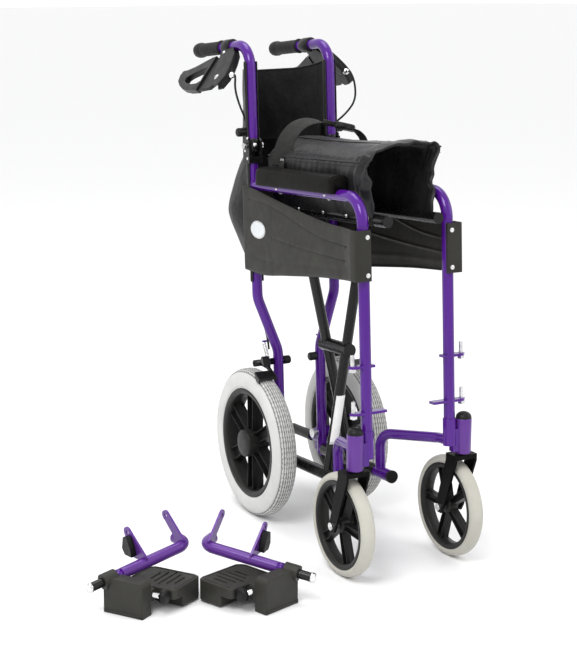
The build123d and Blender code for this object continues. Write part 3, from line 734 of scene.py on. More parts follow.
for side, sign, place in PLACES:
    outward, forward, up = axes(place)
    body, cane_body = "side_" + side, "cane_" + side
    for number, u in enumerate((120, 318)):
        screw(f"armrest_screw_{side}_{number}", place(HALF, u, 692.6), -up, 3.2, body)
        screw(f"armrest_side_screw_{side}_{number}", place(HALF + 11, u, 702), outward, 2.8, body)
    for number, (u, v) in enumerate(((-6, 812), (6, 800), (-6, 774), (4, 758))):
        screw(f"hinge_screw_{side}_{number}", place(HALF + 15.6, u, v), outward, 2.6, body)
    for number, v in enumerate((900, 850)):
        screw(f"cane_screw_{side}_{number}", place(HALF + 11, 0, v), outward, 2.4, cane_body)
    rail_body = "brace_front_body" if sign > 0 else "brace_rear_body"
    for number, u in enumerate((60, 150, 250, 340, 420)):
        screw(f"hem_screw_{side}_{number}", place(69.4, u, 662), outward, 3, rail_body)
    # weld beads where tubes meet
    for number, (centre, axis, radius, bead) in enumerate((
            (place(HALF, 8, 703.7), forward, 11.2, 1.0), (place(HALF, 441.7, 265), up, 11.6, 0.9))):
        ring = [(radius + bead * cos(t * pi / 4), bead * sin(t * pi / 4)) for t in range(8)]
        weld = lathe(f"weld_{side}_{number}", ring + ring[:1], centre, axis, PURPLE, 40,
                     lambda i, j: 0.25 * sin(i * 2.4))
        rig.ride(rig.slot(weld, "purple_frame"), body)

# ---- handles: grips, brake levers, cables
BRAKE_TILT = radians(37)        # the brakes hang outboard of straight down


def handle_frame(place):
    """Along the handle (forward), away from it (outboard and down), and square to both."""
    base = place(HALF, 0, CANE_TOP)
    along = shift(place, 0, 247, 8.3).normalized()
    away = shift(place, sin(BRAKE_TILT), 0, -cos(BRAKE_TILT)).normalized()
    square = along.cross(away).normalized()
    if shift(place, 1, 0, 0).x < 0:
        square = -square
    return lambda a, b, c: base + (along * a + away * b + square * c) / 1000


LEVER_OUTER = [(-112, 27), (-128, 30), (-158, 40), (-190, 51), (-222, 58), (-240, 59), (-247, 70), (-238, 86),
               (-214, 99), (-185, 109), (-150, 113), (-112, 113)]
LEVER_INNER = [(-122, 56), (-130, 57), (-150, 62), (-172, 68), (-190, 73), (-202, 79), (-203, 84), (-196, 89),
               (-180, 94), (-155, 97), (-130, 96), (-117, 90)]
LEVER_ROOT = [(-120, 30), (-96, 28), (-78, 50), (-52, 82), (-46, 98), (-60, 108), (-120, 112), (-120, 95),
              (-110, 88), (-114, 60)]
MOUNT_CHEEK = [(-100, 8), (-52, 9), (-31, 23), (-17, 44), (-8, 64), (-4, 84), (-14, 104), (-34, 106),
               (-47, 96), (-78, 48), (-99, 22)]
MOUNT_SPINE = [(-56, 8), (-30, 24), (-17, 44), (-8, 64), (-4, 84), (-14, 104), (-22, 100), (-17, 84),
               (-21, 66), (-31, 46), (-46, 30), (-64, 16)]
POST_CABLE = [(95, -20, 800), (96, -20.5, 740), (98.5, -15, 680), (98.4, -15.2, 590), (98, -15, 510),
              (87, -14, 440), (66, -12, 385), (62, -15, 350)]
CABLES = {"right": [(134, 8, 902), (116, -10, 868), (98, -19, 838)] + POST_CABLE,
          "left": [(148, 12, 905), (151, 8, 868), (137, -10, 840), (113, -25, 818)] + POST_CABLE}

for side, sign, place in PLACES:
    up = axes(place)[2]
    handle = handle_frame(place)
    along, away, square = axes(handle)
    cane_body = "cane_" + side
    profile = [(11.2, 0), (15.2, 0.4), (15.8, 2), (15.2, 4), (13.9, 6)]
    for number in range(9):
        base = 9 + number * 9
        profile += [(13.3, base), (14.0, base + 2.5), (14.0, base + 4.5), (13.1, base + 7)]
    profile += [(13.8, 92), (15.4, 97), (16.2, 103), (16.2, 112), (15.2, 118), (11, 122.6), (5, 124),
                (0, 124.2)]
    grip = lathe(f"handle_grip_{side}", profile, handle(-128, 0, 0), -along, FOAM, 60,
                 lambda i, j: 0.3 if (i // 2) % 2 and 5 < j < 41 else 0)
    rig.ride(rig.slot(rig.replaces(grip, "grip_" + side), "foam"), "cane_" + side)

    verts, faces, count = [], [], len(LEVER_OUTER)
    for outline in (LEVER_OUTER, LEVER_INNER):
        for level in (-6.5, 7.5):
            verts += [handle(a, b, level) for a, b in outline]
    for i in range(count):
        k = (i + 1) % count
        for a, b in ((0, 1), (1, 3), (3, 2), (2, 0)):
            faces.append((a * count + i, a * count + k, b * count + k, b * count + i))
    loop = bevel(new_object("loop", verts, faces, BLACK), 3, 3, 30)
    parts = [loop]
    for number in range(6):
        a = -132 - number * 13
        b = 31.5 - (a + 128) * 0.34
        ridge = [handle(a, b, level) for level in (-5, -2.5, 0, 3, 6)]
        parts.append(sweep("ridge", ridge, circle(2.8, 10), BLACK, (1, 0, 0)))
    ball = [(6.5 * sin(t * pi / 10), -6.5 * cos(t * pi / 10)) for t in range(11)]
    parts.append(lathe("ball", ball, handle(-243, 62, 0.5), square, BLACK, 24))
    parts.append(slab("root", LEVER_ROOT, handle, -4.4, 3.4, BLACK, 1.2))
    lever = join(f"brake_lever_{side}_body", parts)
    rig.ride(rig.slot(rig.replaces(lever, "brake_lever_" + side), "black_plastic"), "lever_" + side)
    screw(f"lever_pivot_{side}", handle(-44, 84, 8.6), square, 5, cane_body)
    screw(f"clamp_screw_{side}", handle(-84, 20, 8.6), square, 3.2, cane_body)
    clamp = [(11.1, 0), (15, 0), (15.8, 1.5), (15.8, 30), (15, 32), (11.1, 32)]
    barrel = [(0, 0), (6.5, 0), (6.5, 14), (5.6, 16), (0, 16)]
    mount = join(f"brake_mount_{side}_body", [
        slab("cheek", MOUNT_CHEEK, handle, 4.2, 8.6, BLACK, 1.6),
        slab("cheek", MOUNT_CHEEK, handle, -9, -5.2, BLACK, 1.6),
        slab("spine", MOUNT_SPINE, handle, -5.4, 4.4, BLACK, 0.6),
        lathe("clamp", clamp, handle(-76, 0, 0), -along, BLACK, 40),
        lathe("barrel", barrel, handle(-26, 74, -3), along, BLACK, 24)])
    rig.ride(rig.slot(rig.replaces(mount, "brake_mount_" + side), "black_plastic"), cane_body)
    adjuster = [(0, -3), (5.4, -3), (5.4, 4), (4.2, 4.6), (4.2, 6), (6.2, 6.6), (6.2, 12), (4.6, 13),
                (3.4, 15), (3.2, 20), (2.3, 21), (0, 21)]
    barrel = lathe(f"cable_adjuster_{side}", adjuster, handle(-12, 74, -3), along,
                   CHROME, 20, lambda i, j: 0.35 if i % 2 and 5 <= j <= 6 else 0)
    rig.ride(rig.slot(barrel, "chrome"), cane_body)

    curve = bpy.data.curves.new("cable", "CURVE")
    curve.dimensions = "3D"
    curve.bevel_depth = 0.0022
    curve.bevel_resolution = 4
    curve.resolution_u = 10
    run = curve.splines.new("NURBS")
    points = [handle(a, 74, -3) for a in (-9.9, 4, 16)] + [place(*p) for p in CABLES[side]]
    run.points.add(len(points) - 1)
    for target, p in zip(run.points, points):
        target.co = (*p, 1)
    run.order_u = 3
    run.use_endpoint_u = True
    shape = linked("cable", curve)
    bpy.context.view_layer.update()
    cable = join(f"brake_cable_{side}_outer", [shape])
    cable.data.materials.clear()
    cable.data.materials.append(CABLE)
    for face in cable.data.polygons:
        face.use_smooth = True
    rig.slot(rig.replaces(cable, "brake_cable_" + side), "black_cable")
    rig.blend(cable, "side_" + side, "cane_" + side, place(98, -16, 770), place(120, 0, 850))
    tie = [(11.6, -2), (12.4, -2), (12.4, 2), (11.6, 2), (11.6, -2)]
    for number, v in enumerate((700, 560)):
        clip = lathe(f"cable_tie_{side}_{number}", tie, place(HALF, 0, v), up, BLACK, 40)
        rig.ride(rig.slot(clip, "black_plastic"), "side_" + side)

# ---- fabric


def fold_noise(x, y, z, size):
    """Smooth noise from -1 to 1, with bumps about size apart."""
    return noise.noise(Vector((x / size, y / size, z / size)))


def arc_lengths(points):
    """The distance along the points to each of them."""
    total = [0.0]
    for a, b in zip(points, points[1:]):
        total.append(total[-1] + (b - a).length)
    return total


def cloth(name, rows, thickness, material, side):
    """Fabric from rows of points, rounded and thickened to one side."""
    return shell(name, rows, material, thickness, side, rounded=True)


# the seat hangs over its two rails as a hump while the chair is folded
SEAT_LEFT = [(64, 648), (66.5, 665), (69, 695), (73.5, 735), (77.5, 765), (76, 784), (67, 794.5), (45, 798),
             (20, 800), (-8, 800)]
SEAT_RIGHT = [(64, 648), (66, 665), (68, 690), (71.5, 722), (74.5, 748), (73, 764), (64, 776), (45, 787),
              (22, 795), (-2, 799)]
SEAT_REAR, SEAT_FRONT = 34.0, 432.0
SEAT_ROWS, PROFILE_STEPS = 96, 9
SEAM = 5 * PROFILE_STEPS        # the piped seam, at the outline's sixth point


def profile_normal(profile, j):
    """The outward normal of an (x, 0, v) profile at one of its points."""
    before, after = profile[max(j - 1, 0)], profile[min(j + 1, len(profile) - 1)]
    tangent = (after - before).normalized()
    return Vector((tangent.z, 0, -tangent.x))


for side, sign, place in PLACES:
    outline = SEAT_LEFT if sign > 0 else SEAT_RIGHT
    profile = spline([(x, 0, v) for x, v in outline], PROFILE_STEPS)
    lengths = arc_lengths(profile)
    rows = []
    for number in range(SEAT_ROWS + 1):
        share = number / SEAT_ROWS
        u = SEAT_REAR + (SEAT_FRONT - SEAT_REAR) * share
        row = []
        near_front = max(0.0, (u - 372) / 60)       # up to 1 at the front and rear edges
        near_rear = max(0.0, (95 - u) / 60)
        for j, p in enumerate(profile):
            below = lengths[SEAM] - lengths[j]
            held = min(1, lengths[j] / 22) * min(1, (lengths[-1] - lengths[j]) / 30 + 0.15)
            gather = 0.0
            if below > -14:
                fall = max(0.0, 1 - max(0.0, below - 4) / 88)
                wave_u = u + 0.35 * below + 30 * fold_noise(u, j, sign * 30, 70)
                gather = 5.5 * fall * near_front ** 0.7 * sin(2 * pi * wave_u / 31)
                gather += 1.0 * fall * sin(2 * pi * wave_u / 23) * (0.4 + near_rear)
                gather += 7.0 * fold_noise(u, below, sign * 50, 52) * (0.45 + 0.8 * near_front)
            crown = 2.2 * fold_noise(u * 0.8, p.x * 1.2, sign * 9, 46) + 1.2 * fold_noise(u, p.x, 4, 18)
            sag = -3.5 * sin(pi * share) if below < -14 else 0
            phase = lengths[j] / 7 + sign + 5 * fold_noise(lengths[j], u / 9, 2, 40)
            ripple = 1.7 * near_front ** 2 * sin(phase)
            ripple += 5.0 * near_front ** 2 * fold_noise(lengths[j], 8, sign * 3, 26)
            puff = 4.5 * sin(pi * max(0, u - 380) / 52) * held
            q = p + profile_normal(profile, j) * (held * (gather + crown * 0.8 + ripple) + sag + puff)
            wander = 5.0 * near_front * fold_noise(lengths[j], 3, sign * 7, 60)
            row.append(place(q.x, u + wander, q.z))
        rows.append(row)
    # the front edge is rolled under
    for back, inner in ((-1.5, 3.4), (-6, 6.0), (-13, 6.4)):
        rows.append([base - shift(place, *profile_normal(profile, j)) * inner + shift(place, 0, back, 0)
                     for j, base in enumerate(rows[SEAT_ROWS])])
    cover = cloth(f"seat_cover_{side}_sheet", rows, 2.6, NYLON, -sign)
    path = [row[SEAM] + shift(place, 0, 0, 0.8) for row in rows[:SEAT_ROWS + 1:2]]
    piping = sweep("piping", path, circle(1.9, 10), NYLON)
    stitch_path = [row[SEAM - 4] + shift(place, 0.5, 0, 0) for row in rows[:SEAT_ROWS + 1:2]]
    stitch = sweep("stitch", stitch_path, circle(0.7, 6), NYLON_DULL)
    seat = join(f"seat_cover_{side}", [cover, piping, stitch])
    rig.slot(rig.replaces(seat, "seat_flap_" + side, "seat_leaf_" + side), "black_nylon")
    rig.blend(seat, "flap_" + side, "leaf_" + side, place(75, 230, 772), place(52, 230, 790))
    across = lengths[-1] / 1000 + 0.004
    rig.sheet(seat, flat=(across * 1.04, (SEAT_FRONT - SEAT_REAR) / 1000 + 0.012), held="gathered",
             rests_on=["brace_front" if sign > 0 else "brace_rear"])

# lap strap and its side-release buckle, arching over the seat
STRAP_TURN = radians(48)
WEB_HALF = [(-1, -0.6), (-0.96, -1), (-0.5, -1), (0, -1), (0.5, -1), (0.96, -1), (1, -0.6)]
WEB = [(x * 0.015, y * 0.0009) for x, y in WEB_HALF + [(-x, -y) for x, y in WEB_HALF]]


def strap(name, points, steps, turn=0.0, wide=1.0):
    """Flat webbing: its width runs along the chair, turned and widened towards the path's start."""
    path = spline([side_point(*p) for p in points], steps)
    forward = axes(side_point)[1]
    rings = []
    for i, p in enumerate(path):
        share = i / (len(path) - 1)
        ahead = (path[min(i + 1, len(path) - 1)] - path[max(i - 1, 0)]).normalized()
        across = (forward - ahead * forward.dot(ahead)).normalized()
        across = Matrix.Rotation(turn * (1 - share ** 2), 3, ahead) @ across
        lift = ahead.cross(across).normalized()
        width = 1 + (wide - 1) * (1 - share)
        rings.append([p + across * a * width + lift * b for a, b in WEB])
    return loft(name, rings, WEBBING)


web = strap("web", (
    (-76.5, 96, 744), (-75.5, 98, 762), (-71, 100, 785), (-61, 102, 806), (-44, 104, 823), (-22, 108, 832),
    (0, 112, 832), (18, 117, 827)), 6, STRAP_TURN, 1.35)
tail = strap("tail", ((58, 146, 815), (70, 152, 808), (79, 158, 794), (81.5, 162, 772), (80.5, 165, 752)), 6)
fold = strap("fold", ((-79, 97, 752), (-80.5, 97.5, 748), (-80.6, 97.5, 741), (-78.5, 97.5, 737),
                      (-75, 97.5, 740)), 5)
strap_piece = join("lap_strap_webbing", [web, tail, fold])
bar_stitches = []
for offset in (-10, -5, 0, 5, 10):
    centre = side_point(-78.6, 97 + offset, 755)
    bar_stitches.append(sweep("bar", [centre, centre + shift(side_point, 0, 0, 5)], circle(0.7, 6), THREAD))
stitches = join("strap_bar_tack", bar_stitches)
for piece in (strap_piece, stitches):
    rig.slot(piece, "black_nylon")
    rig.ride(piece, "leaf_left")
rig.replaces(strap_piece, "lap_strap")


def buckle_point(a, b, c):
    """Along the buckle, along the chair, and up from it."""
    start, end = side_point(14, 114, 829.5), side_point(62, 148, 815.5)
    along = (end - start).normalized()
    forward = axes(side_point)[1]
    across = (forward - along * forward.dot(along)).normalized()
    up = along.cross(across)
    up = -up if up.z < 0 else up
    return start + (along * a + across * b + up * c) / 1000


female = [(22, -17), (26, -20), (58, -20), (64, -15), (64, 15), (58, 20), (26, 20), (22, 17)]
male = [(-2, -18), (10, -18), (20, -14), (24, -12), (24, 12), (20, 14), (10, 18), (-2, 18)]
parts = [slab("female", female, buckle_point, -6, 6.5, BLACK, 2.6, 3),
         slab("male", male, buckle_point, -4, 4.5, BLACK, 2, 3)]
for edge in (-1, 1):
    wing = [(18, edge * 13), (30, edge * 20.5), (42, edge * 22.5), (50, edge * 20), (30, edge * 14)]
    parts.append(slab("wing", wing, buckle_point, -3.5, 3.5, BLACK, 1.4))
for a in (-1, 3.5, 8):
    parts.append(slab("bar", rectangle(a, a + 2.2, -15, 15), buckle_point, 4, 6, BLACK, 0.8))
parts.append(slab("window", rectangle(32, 54, -9, 9), buckle_point, 6, 7.4, BLACK, 1.0))
buckle = join("strap_buckle_body", parts)
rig.ride(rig.slot(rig.replaces(buckle, "strap_buckle"), "black_plastic"), "leaf_left")

# ---- back fabric, two folding halves
APEX = 193.3                        # how far behind the posts the halves meet
PANEL_TURN = atan2(APEX, HALF)


def back_plan(s, n):
    """Plan of one half of the back, from the post: s towards the apex, n out of the sling."""
    return (HALF - s * cos(PANEL_TURN) + n * sin(PANEL_TURN), s * sin(PANEL_TURN) + n * cos(PANEL_TURN))


for side, sign, place in PLACES:
    for part, low, high, steps, body, post_body, post_node in (
            ("lower", 500, 790, 44, "back_low_" + side, "side_" + side, "side_frame_" + side),
            ("upper", 772, 956, 30, "back_high_" + side, "cane_" + side, "cane_" + side)):
        rows, sleeve_rows = [], []
        upper = part == "upper"
        for i in range(steps + 1):
            t = i / steps
            v0 = low + (high - low) * t
            if upper:
                bulge = 12 + 5 * (1 - t)
            else:
                belly = 1 - abs(2 * t ** 0.92 - 1) + sin(pi * t) ** 1.3
                bulge = 24.64 * belly + 3 * t + 2
            plan = [back_plan(s, n) for s, n in (
                (9, 7), (26, 0.30 * bulge), (60, 0.72 * bulge), (105, bulge), (150, 0.86 * bulge + 2),
                (190, 0.4 * bulge + 7))]
            plan.append((0.0, APEX + 6 + 0.10 * bulge))
            curve_points = spline([(x, b, 0) for x, b in plan], 6)
            row = []
            for j, p in enumerate(curve_points):
                share = j / (len(curve_points) - 1)
                if upper:
                    v = v0 - 15 * t * min(1, share * 2.2) - 6 * t * share
                else:
                    v = v0 + 10 * share * (1 - t)
                ripple = 1.6 * fold_noise(share * 200, v, sign * 20 + 3, 46)
                ripple += 0.8 * fold_noise(share * 200, v * 0.4, sign * 5, 14)
                crease = 2.4 * sin(v / 8 + share * 9) * max(0, 1 - (t if upper else 1 - t) * 5)
                off = (ripple * 1.6 + crease) * min(1, share * 5)
                x = p.x + off * sin(PANEL_TURN)
                b = p.y + off * cos(PANEL_TURN)
                x = max(x, -1.0) if j < len(curve_points) - 1 else 0
                row.append(place(x, -b, v))
            rows.append(row)
            ring = []
            for step in range(15):
                angle = radians(-118 + step * 236 / 14)
                radius = 12.4 + 1.6 * (step in (1, 13)) + 0.6 * fold_noise(step * 4, v0, sign * 11, 17)
                ring.append(place(HALF + radius * sin(angle), -radius * cos(angle), v0))
            sleeve_rows.append(ring)
        panel = cloth(f"back_{part}_{side}_sheet", rows, 2.0, NYLON_DULL, sign)
        edge = rows[-1] if upper else rows[0]
        lines = [panel, sweep("hem", edge[1:], circle(1.8, 8), NYLON_DULL)]
        for index in (4, 8):
            seam_path = [row[index] + shift(place, 0, 1.3, 0) for row in rows[1:-1]]
            lines.append(sweep("seam", seam_path, circle(1.0, 6), NYLON_DULL, (0, 1, 0)))
        panel = join(f"back_{part}_{side}_panel", lines)
        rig.slot(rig.replaces(panel, f"back_{part}_{side}"), "black_nylon")
        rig.ride(panel, body)
        across = arc_lengths(rows[steps // 2])[-1]
        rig.sheet(panel, flat=(across, (high - low) / 1000), held="hung", rests_on=[post_node])
        if upper:
            inboard = shift(place, -cos(PANEL_TURN), -sin(PANEL_TURN), 0).normalized()
            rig.squash(panel, "back_fold_" + side, axis=inboard, anchor=place(HALF, 0, 870), keep=0.12)
        else:
            sleeve_rows = sleeve_rows[:-5]      # the lower cuff stops under the hinge
        sleeve = cloth(f"back_{part}_{side}_cuff", sleeve_rows, 1.6, NYLON_DULL, -sign)
        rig.slot(sleeve, "black_nylon")
        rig.ride(sleeve, post_body)
        height = (sleeve_rows[-1][0] - sleeve_rows[0][0]).length
        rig.sheet(sleeve, flat=(0.053, height), held="stretched", rests_on=[post_node])

# ---- side panels with their raised lines
PANEL_FACE = HALF + 14.2
SWELL = 8.6                         # how far the panel stands out at its front corner
PANEL_REAR, PANEL_FRONT = -25, 438
PANEL_TOP = [(-25, 700), (0, 699), (40, 694), (110, 682), (190, 669), (270, 657), (350, 648), (438, 645)]
PANEL_LOW = [(-25, 526), (60, 522), (160, 531), (300, 543), (438, 550)]
LONG_GROOVE = [(8, 675), (70, 671), (150, 657), (250, 632), (330, 617), (410, 611)]
SHORT_GROOVE = [(106, 602), (200, 594), (300, 588), (402, 584)]
LOW_STEP = [(20, 556), (120, 553), (260, 562), (420, 566)]


def height_of(points):
    """A smooth curve through (u, v) points, as a function of u."""
    curve = spline([(u, v, 0) for u, v in points], 12)

    def height(u):
        for a, b in zip(curve, curve[1:]):
            if a.x <= u <= b.x:
                return a.y + (b.y - a.y) * (u - a.x) / max(b.x - a.x, 1e-6)
        return curve[0].y if u < curve[0].x else curve[-1].y
    return height


def relief(u, v, lines):
    """Depth of the grooves pressed in a panel, in millimetres."""
    depth = 0.0
    for height, start, end, width, deep in lines:
        gap = abs(v - height(min(max(u, start), end)))
        beyond = max(start - u, u - end, 0)
        distance = (gap * gap + beyond * beyond) ** 0.5
        depth += deep * exp(-((distance / width) ** 2))
    return depth


panel_top, panel_low = height_of(PANEL_TOP), height_of(PANEL_LOW)
grooves = [(height_of(LONG_GROOVE), 8, 410, 2.4, 1.9), (height_of(SHORT_GROOVE), 106, 402, 2.4, 1.9),
           (height_of(LOW_STEP), 20, 420, 5, 0.7), (height_of([(404, 611), (412, 611)]), 408, 410, 4.6, 1.6),
           (height_of([(396, 584), (406, 584)]), 400, 403, 4.6, 1.6)]
PANEL_LENGTH = PANEL_FRONT - PANEL_REAR
panel_stations = [PANEL_REAR + PANEL_LENGTH * i / 190 for i in range(191)]
for side, sign, place in PLACES:
    rows = []
    for i in range(85):
        w = i / 84
        row = []
        for u in panel_stations:
            low, high = panel_low(u), panel_top(u)
            v = low + (high - low) * w
            edge = min(v - low, high - v, u - PANEL_REAR)
            lip = -2.2 * exp(-((edge / 2.6) ** 2))
            swell = SWELL * min(1, max(0, (u - 385) / 50)) ** 2
            swell += 1.2 * sin(pi * w) * sin(pi * (u - PANEL_REAR) / PANEL_LENGTH)
            row.append(place(PANEL_FACE + lip + swell - relief(u, v, grooves), u, v))
        v = panel_low(PANEL_FRONT) + (panel_top(PANEL_FRONT) - panel_low(PANEL_FRONT)) * w
        for step in range(1, 7):
            turn = step / 6 * pi / 2
            row.append(place(PANEL_FACE + SWELL - 4 + 4 * cos(turn), 451.8 + 4 * sin(turn), v))
        row += [place(x, u, v) for x, u in (
            (108, 456), (101, 456), (94, 456), (88.5, 456), (86.2, 455.6), (85.6, 454.4), (85.6, 451.5))]
        rows.append(row)
    panel = shell(f"side_panel_{side}_moulding", rows, GREY, 2.4, -sign)
    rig.slot(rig.replaces(panel, "side_panel_" + side), "grey_plastic")
    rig.ride(panel, "side_" + side)
    badge_plane = lambda a, b, c: place(PANEL_FACE + 1.6 + c, 46 + a, 614 + b)
    oval = [(33 * cos(t * pi / 24), 18.5 * sin(t * pi / 24)) for t in range(48)]
    ring = slab("ring", oval, badge_plane, -0.9, 1.8, SILVER, 0.8)
    blank = slab("blank", [(a * 0.9, b * 0.85) for a, b in oval], badge_plane, 1, 2.7, DISC, 0.8)
    badge = join(f"panel_disc_{side}", [ring, blank])
    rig.ride(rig.slot(badge, "grey_plastic"), "side_" + side)
    for v in (561, 632):
        screw(f"panel_screw_{side}_{v}", place(HALF, 457.2, v), axes(place)[1], 5, "side_" + side)

# ---- armrest pads
PAD_LOW, PAD_HIGH = 706.0, 743.0
PAD_FRONT, PAD_REAR = 362.0, 46.0


def rounded_corner(x, v, radius, start, steps=5):
    """Points of a quarter turn about (x, v), in steps, from an angle in degrees."""
    angles = [radians(start + 90 * i / steps) for i in range(steps + 1)]
    return [(x + radius * cos(a), v + radius * sin(a)) for a in angles]


def pad_section(shrink, crown):
    """Cross-section of an armrest pad, with the channel over its tube."""
    left, right = 76 + shrink, 115.6 - shrink
    low, high = PAD_LOW, PAD_HIGH - shrink * 0.9
    points = rounded_corner(right - 9, high - 9, 9, 0)
    for t in range(1, 8):
        share = t / 8
        points.append((right - 9 + (left + 18 - right) * share, high + crown * sin(pi * share)))
    points += rounded_corner(left + 9, high - 9, 9, 90)
    points += rounded_corner(left + 3.5, low + 3.5, 3.5, 180, 3)
    for t in range(9):
        turn = radians(172 - 164 * t / 8)
        points.append((HALF + 11.6 * cos(turn), max(low, 703.9 + 11.6 * sin(turn))))
    points += rounded_corner(right - 3.5, low + 3.5, 3.5, 270, 3)
    return points


def pad_point(x, v, u, share):
    """A section's point at u: the pad's ends lean forward and its top falls 3 mm to the front."""
    return x, u + (v - PAD_LOW) * 0.10, v - 3.0 * share * (v > 722)


for side, sign, place in PLACES:
    rings = []
    stations = [(0, 6.5), (0.6, 4), (2, 2.2), (5, 0.8), (10, 0.1)]
    run = [(PAD_REAR + d, s) for d, s in stations]
    run += [(PAD_REAR + 18 + i * (PAD_FRONT - PAD_REAR - 40) / 24, 0) for i in range(25)]
    run += [(PAD_FRONT - d, s) for d, s in reversed(stations)]
    for u, shrink in run:
        share = (u - PAD_REAR) / (PAD_FRONT - PAD_REAR)
        crown = 1.2 + 0.5 * fold_noise(u, 3, sign * 4, 40)
        rings.append([place(*pad_point(x, v, u, share)) for x, v in pad_section(shrink, crown)])
    seam_ring = [place(*pad_point(x, v, PAD_FRONT - 4.2, 1)) for x, v in pad_section(0.9, 1.2)]
    pad = join(f"arm_pad_{side}_upholstery", [
        loft("skin", rings, PAD_GREY), sweep("seam", seam_ring[:28], circle(1.1, 8), PAD_GREY)])
    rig.ride(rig.slot(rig.replaces(pad, "arm_pad_" + side), "foam"), "side_" + side)
    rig.padded(pad, 0.9)
    ferrule = [(11.2, 0), (12.3, 0.6), (12.3, 25), (11.9, 26.4), (11.1, 27)]
    _, forward, up = axes(place)
    sleeve = lathe(f"cane_ferrule_{side}", ferrule, place(HALF, 0, 772), up, BLACK_STEEL, 40)
    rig.ride(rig.slot(sleeve, "black_steel"), "cane_" + side)
    screw(f"ferrule_screw_{side}", place(HALF, 12, 786), forward, 3.6, "cane_" + side)

# ---- blank label on the front brace
label_rows = []
for i in range(13):
    v = 186 + 98 * i / 12
    x = -49.4 + (v - 122) * 0.1952
    row = []
    for step in range(9):
        angle = radians(-62 + 124 * step / 8)
        row.append(side_point(x + 11.35 * sin(angle), 208 + 11.35 * cos(angle), v))
    label_rows.append(row)
label = shell("brace_label", label_rows, LABEL, 0.3, 1)
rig.ride(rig.slot(label, "grey_plastic"), "brace_front_body")

# ---- castor housings and rear brakes


def brake_point(sign):
    """(y, z, x) in the floor frame, for slabs that lie across the rear wheel."""
    return lambda y, z, x: floor_point(sign * x, y, z)


ARM_OUTLINE = [(12, 320), (14, 333), (-8, 337), (-30, 330), (-47, 322), (-45, 317), (-28, 322), (-6, 323)]
SHOE_OUTLINE = [(-38, 322), (-46, 319), (-60, 312), (-62, 306.5), (-46, 312.5), (-38, 315)]
LIP_OUTLINE = [(-40, 320), (-46, 318), (-60, 311), (-59, 301), (-48, 302), (-41, 309)]
TAB_OUTLINE = [(-34, 327), (-26, 346), (-19, 348), (-14, 336)]

for side, sign in SIDES:
    plane = brake_point(sign)
    top, low = floor_point(sign * 121.6, -437, 292), floor_point(sign * 121.6, -437, 221)
    housing = [(13.4, 0), (15.7, 0.8), (16, 2), (16, 69), (15.7, 70.2), (13.4, 71)]
    sleeve = lathe(f"castor_housing_{side}", housing, low, top - low, PURPLE_PALE, 48)
    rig.ride(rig.slot(sleeve, "purple_frame"), "side_" + side)
    dome = [(15.4 * cos(t * pi / 16), 1 + 11.5 * sin(t * pi / 16)) for t in range(8)]
    dome = [(15.4, -0.5)] + dome + [(0, 12.5)]
    cap = lathe(f"castor_housing_cap_{side}", dome, top, top - low, BLACK, 48)
    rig.ride(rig.slot(cap, "black_plastic"), "side_" + side)

    barrel = [(4.2, 0), (7.2, 0), (7.2, 46), (4.2, 46)]
    pieces = [lathe("barrel", barrel, floor_point(sign * 62.6, 8.6, 327), (sign, 0, 0), BLACK_STEEL, 28),
              slab("arm", ARM_OUTLINE, plane, 92, 98, BLACK_STEEL, 1),
              slab("shoe", SHOE_OUTLINE, plane, 89, 132, BLACK_STEEL, 1.4),
              slab("tab", TAB_OUTLINE, plane, 90, 106, BLACK_STEEL, 1)]
    for x in (89, 128.5):
        pieces.append(slab("lip", LIP_OUTLINE, plane, x, x + 3.2, BLACK_STEEL, 0.8))
    arm = join(f"brake_arm_{side}_shoe", pieces)
    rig.ride(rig.slot(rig.replaces(arm, "brake_arm_" + side), "black_steel"), "brake_" + side)
    hook = slab(f"spring_hook_{side}", [(-6, -5), (12, -4), (15, 0), (12, 4), (-6, 5)],
                lambda a, b, c: floor_point(sign * (62 + a), 34 + b, 366 + c), -1.6, 1.6, PURPLE, 0.8)
    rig.ride(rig.slot(hook, "purple_frame"), "side_" + side)
    upper, lower = floor_point(sign * 73, 33, 363), floor_point(sign * 86, -12, 341)
    axis = lower - upper
    across = axis.orthogonal().normalized()
    square = axis.cross(across).normalized()
    coil = [upper + axis * (t / 132) + (across * cos(t * pi / 6) + square * sin(t * pi / 6)) * 0.0034
            for t in range(133)]
    spring = sweep(f"brake_spring_{side}", coil, circle(0.8, 8), CHROME)
    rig.ride(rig.slot(spring, "chrome"), "brake_" + side)

# ---- footrests, lying on the floor
FOOT_PLACES = {"left": ((-346, -508), 18.4), "right": ((-551, -424), -56.1)}
TUBE_TOP, TUBE_FOOT = Vector((14, 179, 85)), Vector((72, 31, 62))
PLATE_OUTLINE = [(13, 44), (70, 44), (70, 54), (76, 56), (76, 124), (72, 134), (62, 142), (-24, 142),
                 (-34, 138), (-38, 130), (-35, 60), (-30, 54), (13, 54)]
RIM_OUTLINE = [(-35, 82), (76, 82), (76, 124), (72, 134), (62, 142), (-24, 142), (-34, 138), (-38, 130)]


def foot_point(side, sign):
    """(x, y, z) in millimetres in one footrest's own frame, to the row frame."""
    (x0, y0), turn = FOOT_PLACES[side]
    turn = radians(turn)
    return lambda x, y, z: floor_point(x0 + sign * x * cos(turn) - y * sin(turn),
                                       y0 + sign * x * sin(turn) + y * cos(turn), z)


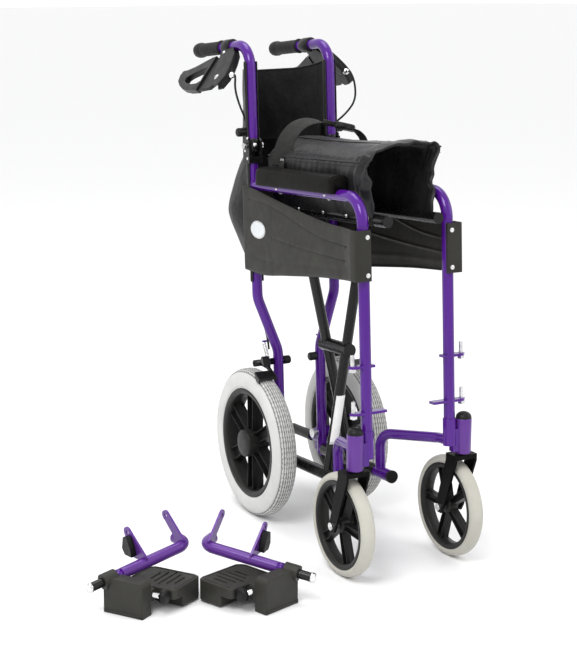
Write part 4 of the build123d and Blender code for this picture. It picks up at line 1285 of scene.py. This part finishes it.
for side, sign in SIDES:
    foot = foot_point(side, sign)
    across = axes(foot)[0]
    leg = "leg_" + side
    top = foot(*TUBE_TOP)
    along = (foot(*TUBE_FOOT) - top).normalized()

    pieces = [slab("top", PLATE_OUTLINE, foot, 24, 44, FOOT_GREY, 3.4, 4),
              slab("rim", RIM_OUTLINE, foot, 2.5, 38, FOOT_GREY, 3.4, 4)]
    # dark grooves across the top, drawn as black tubes: painted shade where the grooves are
    for number in range(5):
        x = -16 + number * 13
        trim = 8 * abs(number - 2)
        line = [foot(x, y, 44) for y in (68 + trim, 90, 112, 132 - trim)]
        pieces.append(sweep("line", line, circle(1.5, 8), BLACK))
    edge = [foot(x, y, 44) for x, y in ((-29, 62), (-31, 128), (-23, 136), (60, 136), (69, 124), (70, 62))]
    pieces.append(sweep("edge", edge, circle(1.1, 8), FOOT_GREY))
    barrel = [(5.2, 0), (10, 0), (10.6, 1), (10.6, 57), (10, 58), (5.2, 58)]
    pieces.append(lathe("barrel", barrel, foot(12.7, 40, 34), across, FOOT_GREY, 32))
    rod = lathe("axle", [(0, 0), (4.8, 0), (4.8, 105), (0, 105)], foot(-22, 40, 34), across, CHROME, 24)
    knob_profile = [(0, 0), (9, 0), (12.4, 1.6), (13, 4), (13, 9), (12.2, 11.4), (8, 12.4), (0, 12.8)]
    knob = lathe("knob", knob_profile, foot(-14.6, 40, 34), -across, BLACK, 40,
                 lambda i, j: 0.5 if i % 4 < 2 and 2 <= j <= 5 else 0)
    plate = join(f"footplate_{side}_tray", pieces + [rod, knob])
    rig.ride(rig.slot(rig.replaces(plate, "footplate_" + side), "grey_plastic"), "plate_" + side)

    cover = [(1, 6), (1, 54), (3.6, 61.6), (11, 65.6), (73, 65.6), (80.4, 61.6), (83, 54), (83, 6)]
    skin = slab("cover", cover, lambda a, b, c: foot(a, c, b), -0.8, 3, FOOT_GREY, 1.6, 3)
    lip = slab("lip", rectangle(0.5, 83.5, -2, 4), foot, 1.2, 7, FOOT_GREY, 1.2)
    feet = [slab("toe", rectangle(x, x + 5, -2, 9), foot, 0.6, 8, FOOT_GREY, 1) for x in (0.5, 78.5)]
    bracket = join(f"footplate_bracket_{side}_cover", [skin, lip] + feet)
    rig.ride(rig.slot(bracket, "grey_plastic"), leg)

    end_cap = [(0, 0), (9.4, 0), (9.8, 0.8), (9.8, 5), (8.6, 6.6), (3, 7), (0, 7)]
    cap = lathe(f"footrest_tube_cap_{side}", end_cap, top + along * 0.2208, along, CHROME, 32)
    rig.ride(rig.slot(cap, "chrome"), leg)
    ferrule = [(8.7, 0), (11, 0), (11, 14), (8.7, 14)]
    collar = lathe(f"footrest_tube_end_{side}", ferrule, top + along * 0.1538, along, PURPLE, 36)
    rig.ride(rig.slot(collar, "purple_frame"), "hanger_" + side)
json.dump({"cad": [list(c) for c in cad_box], "visual": [list(c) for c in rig.bounds()]}, open("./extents.json", "w"))
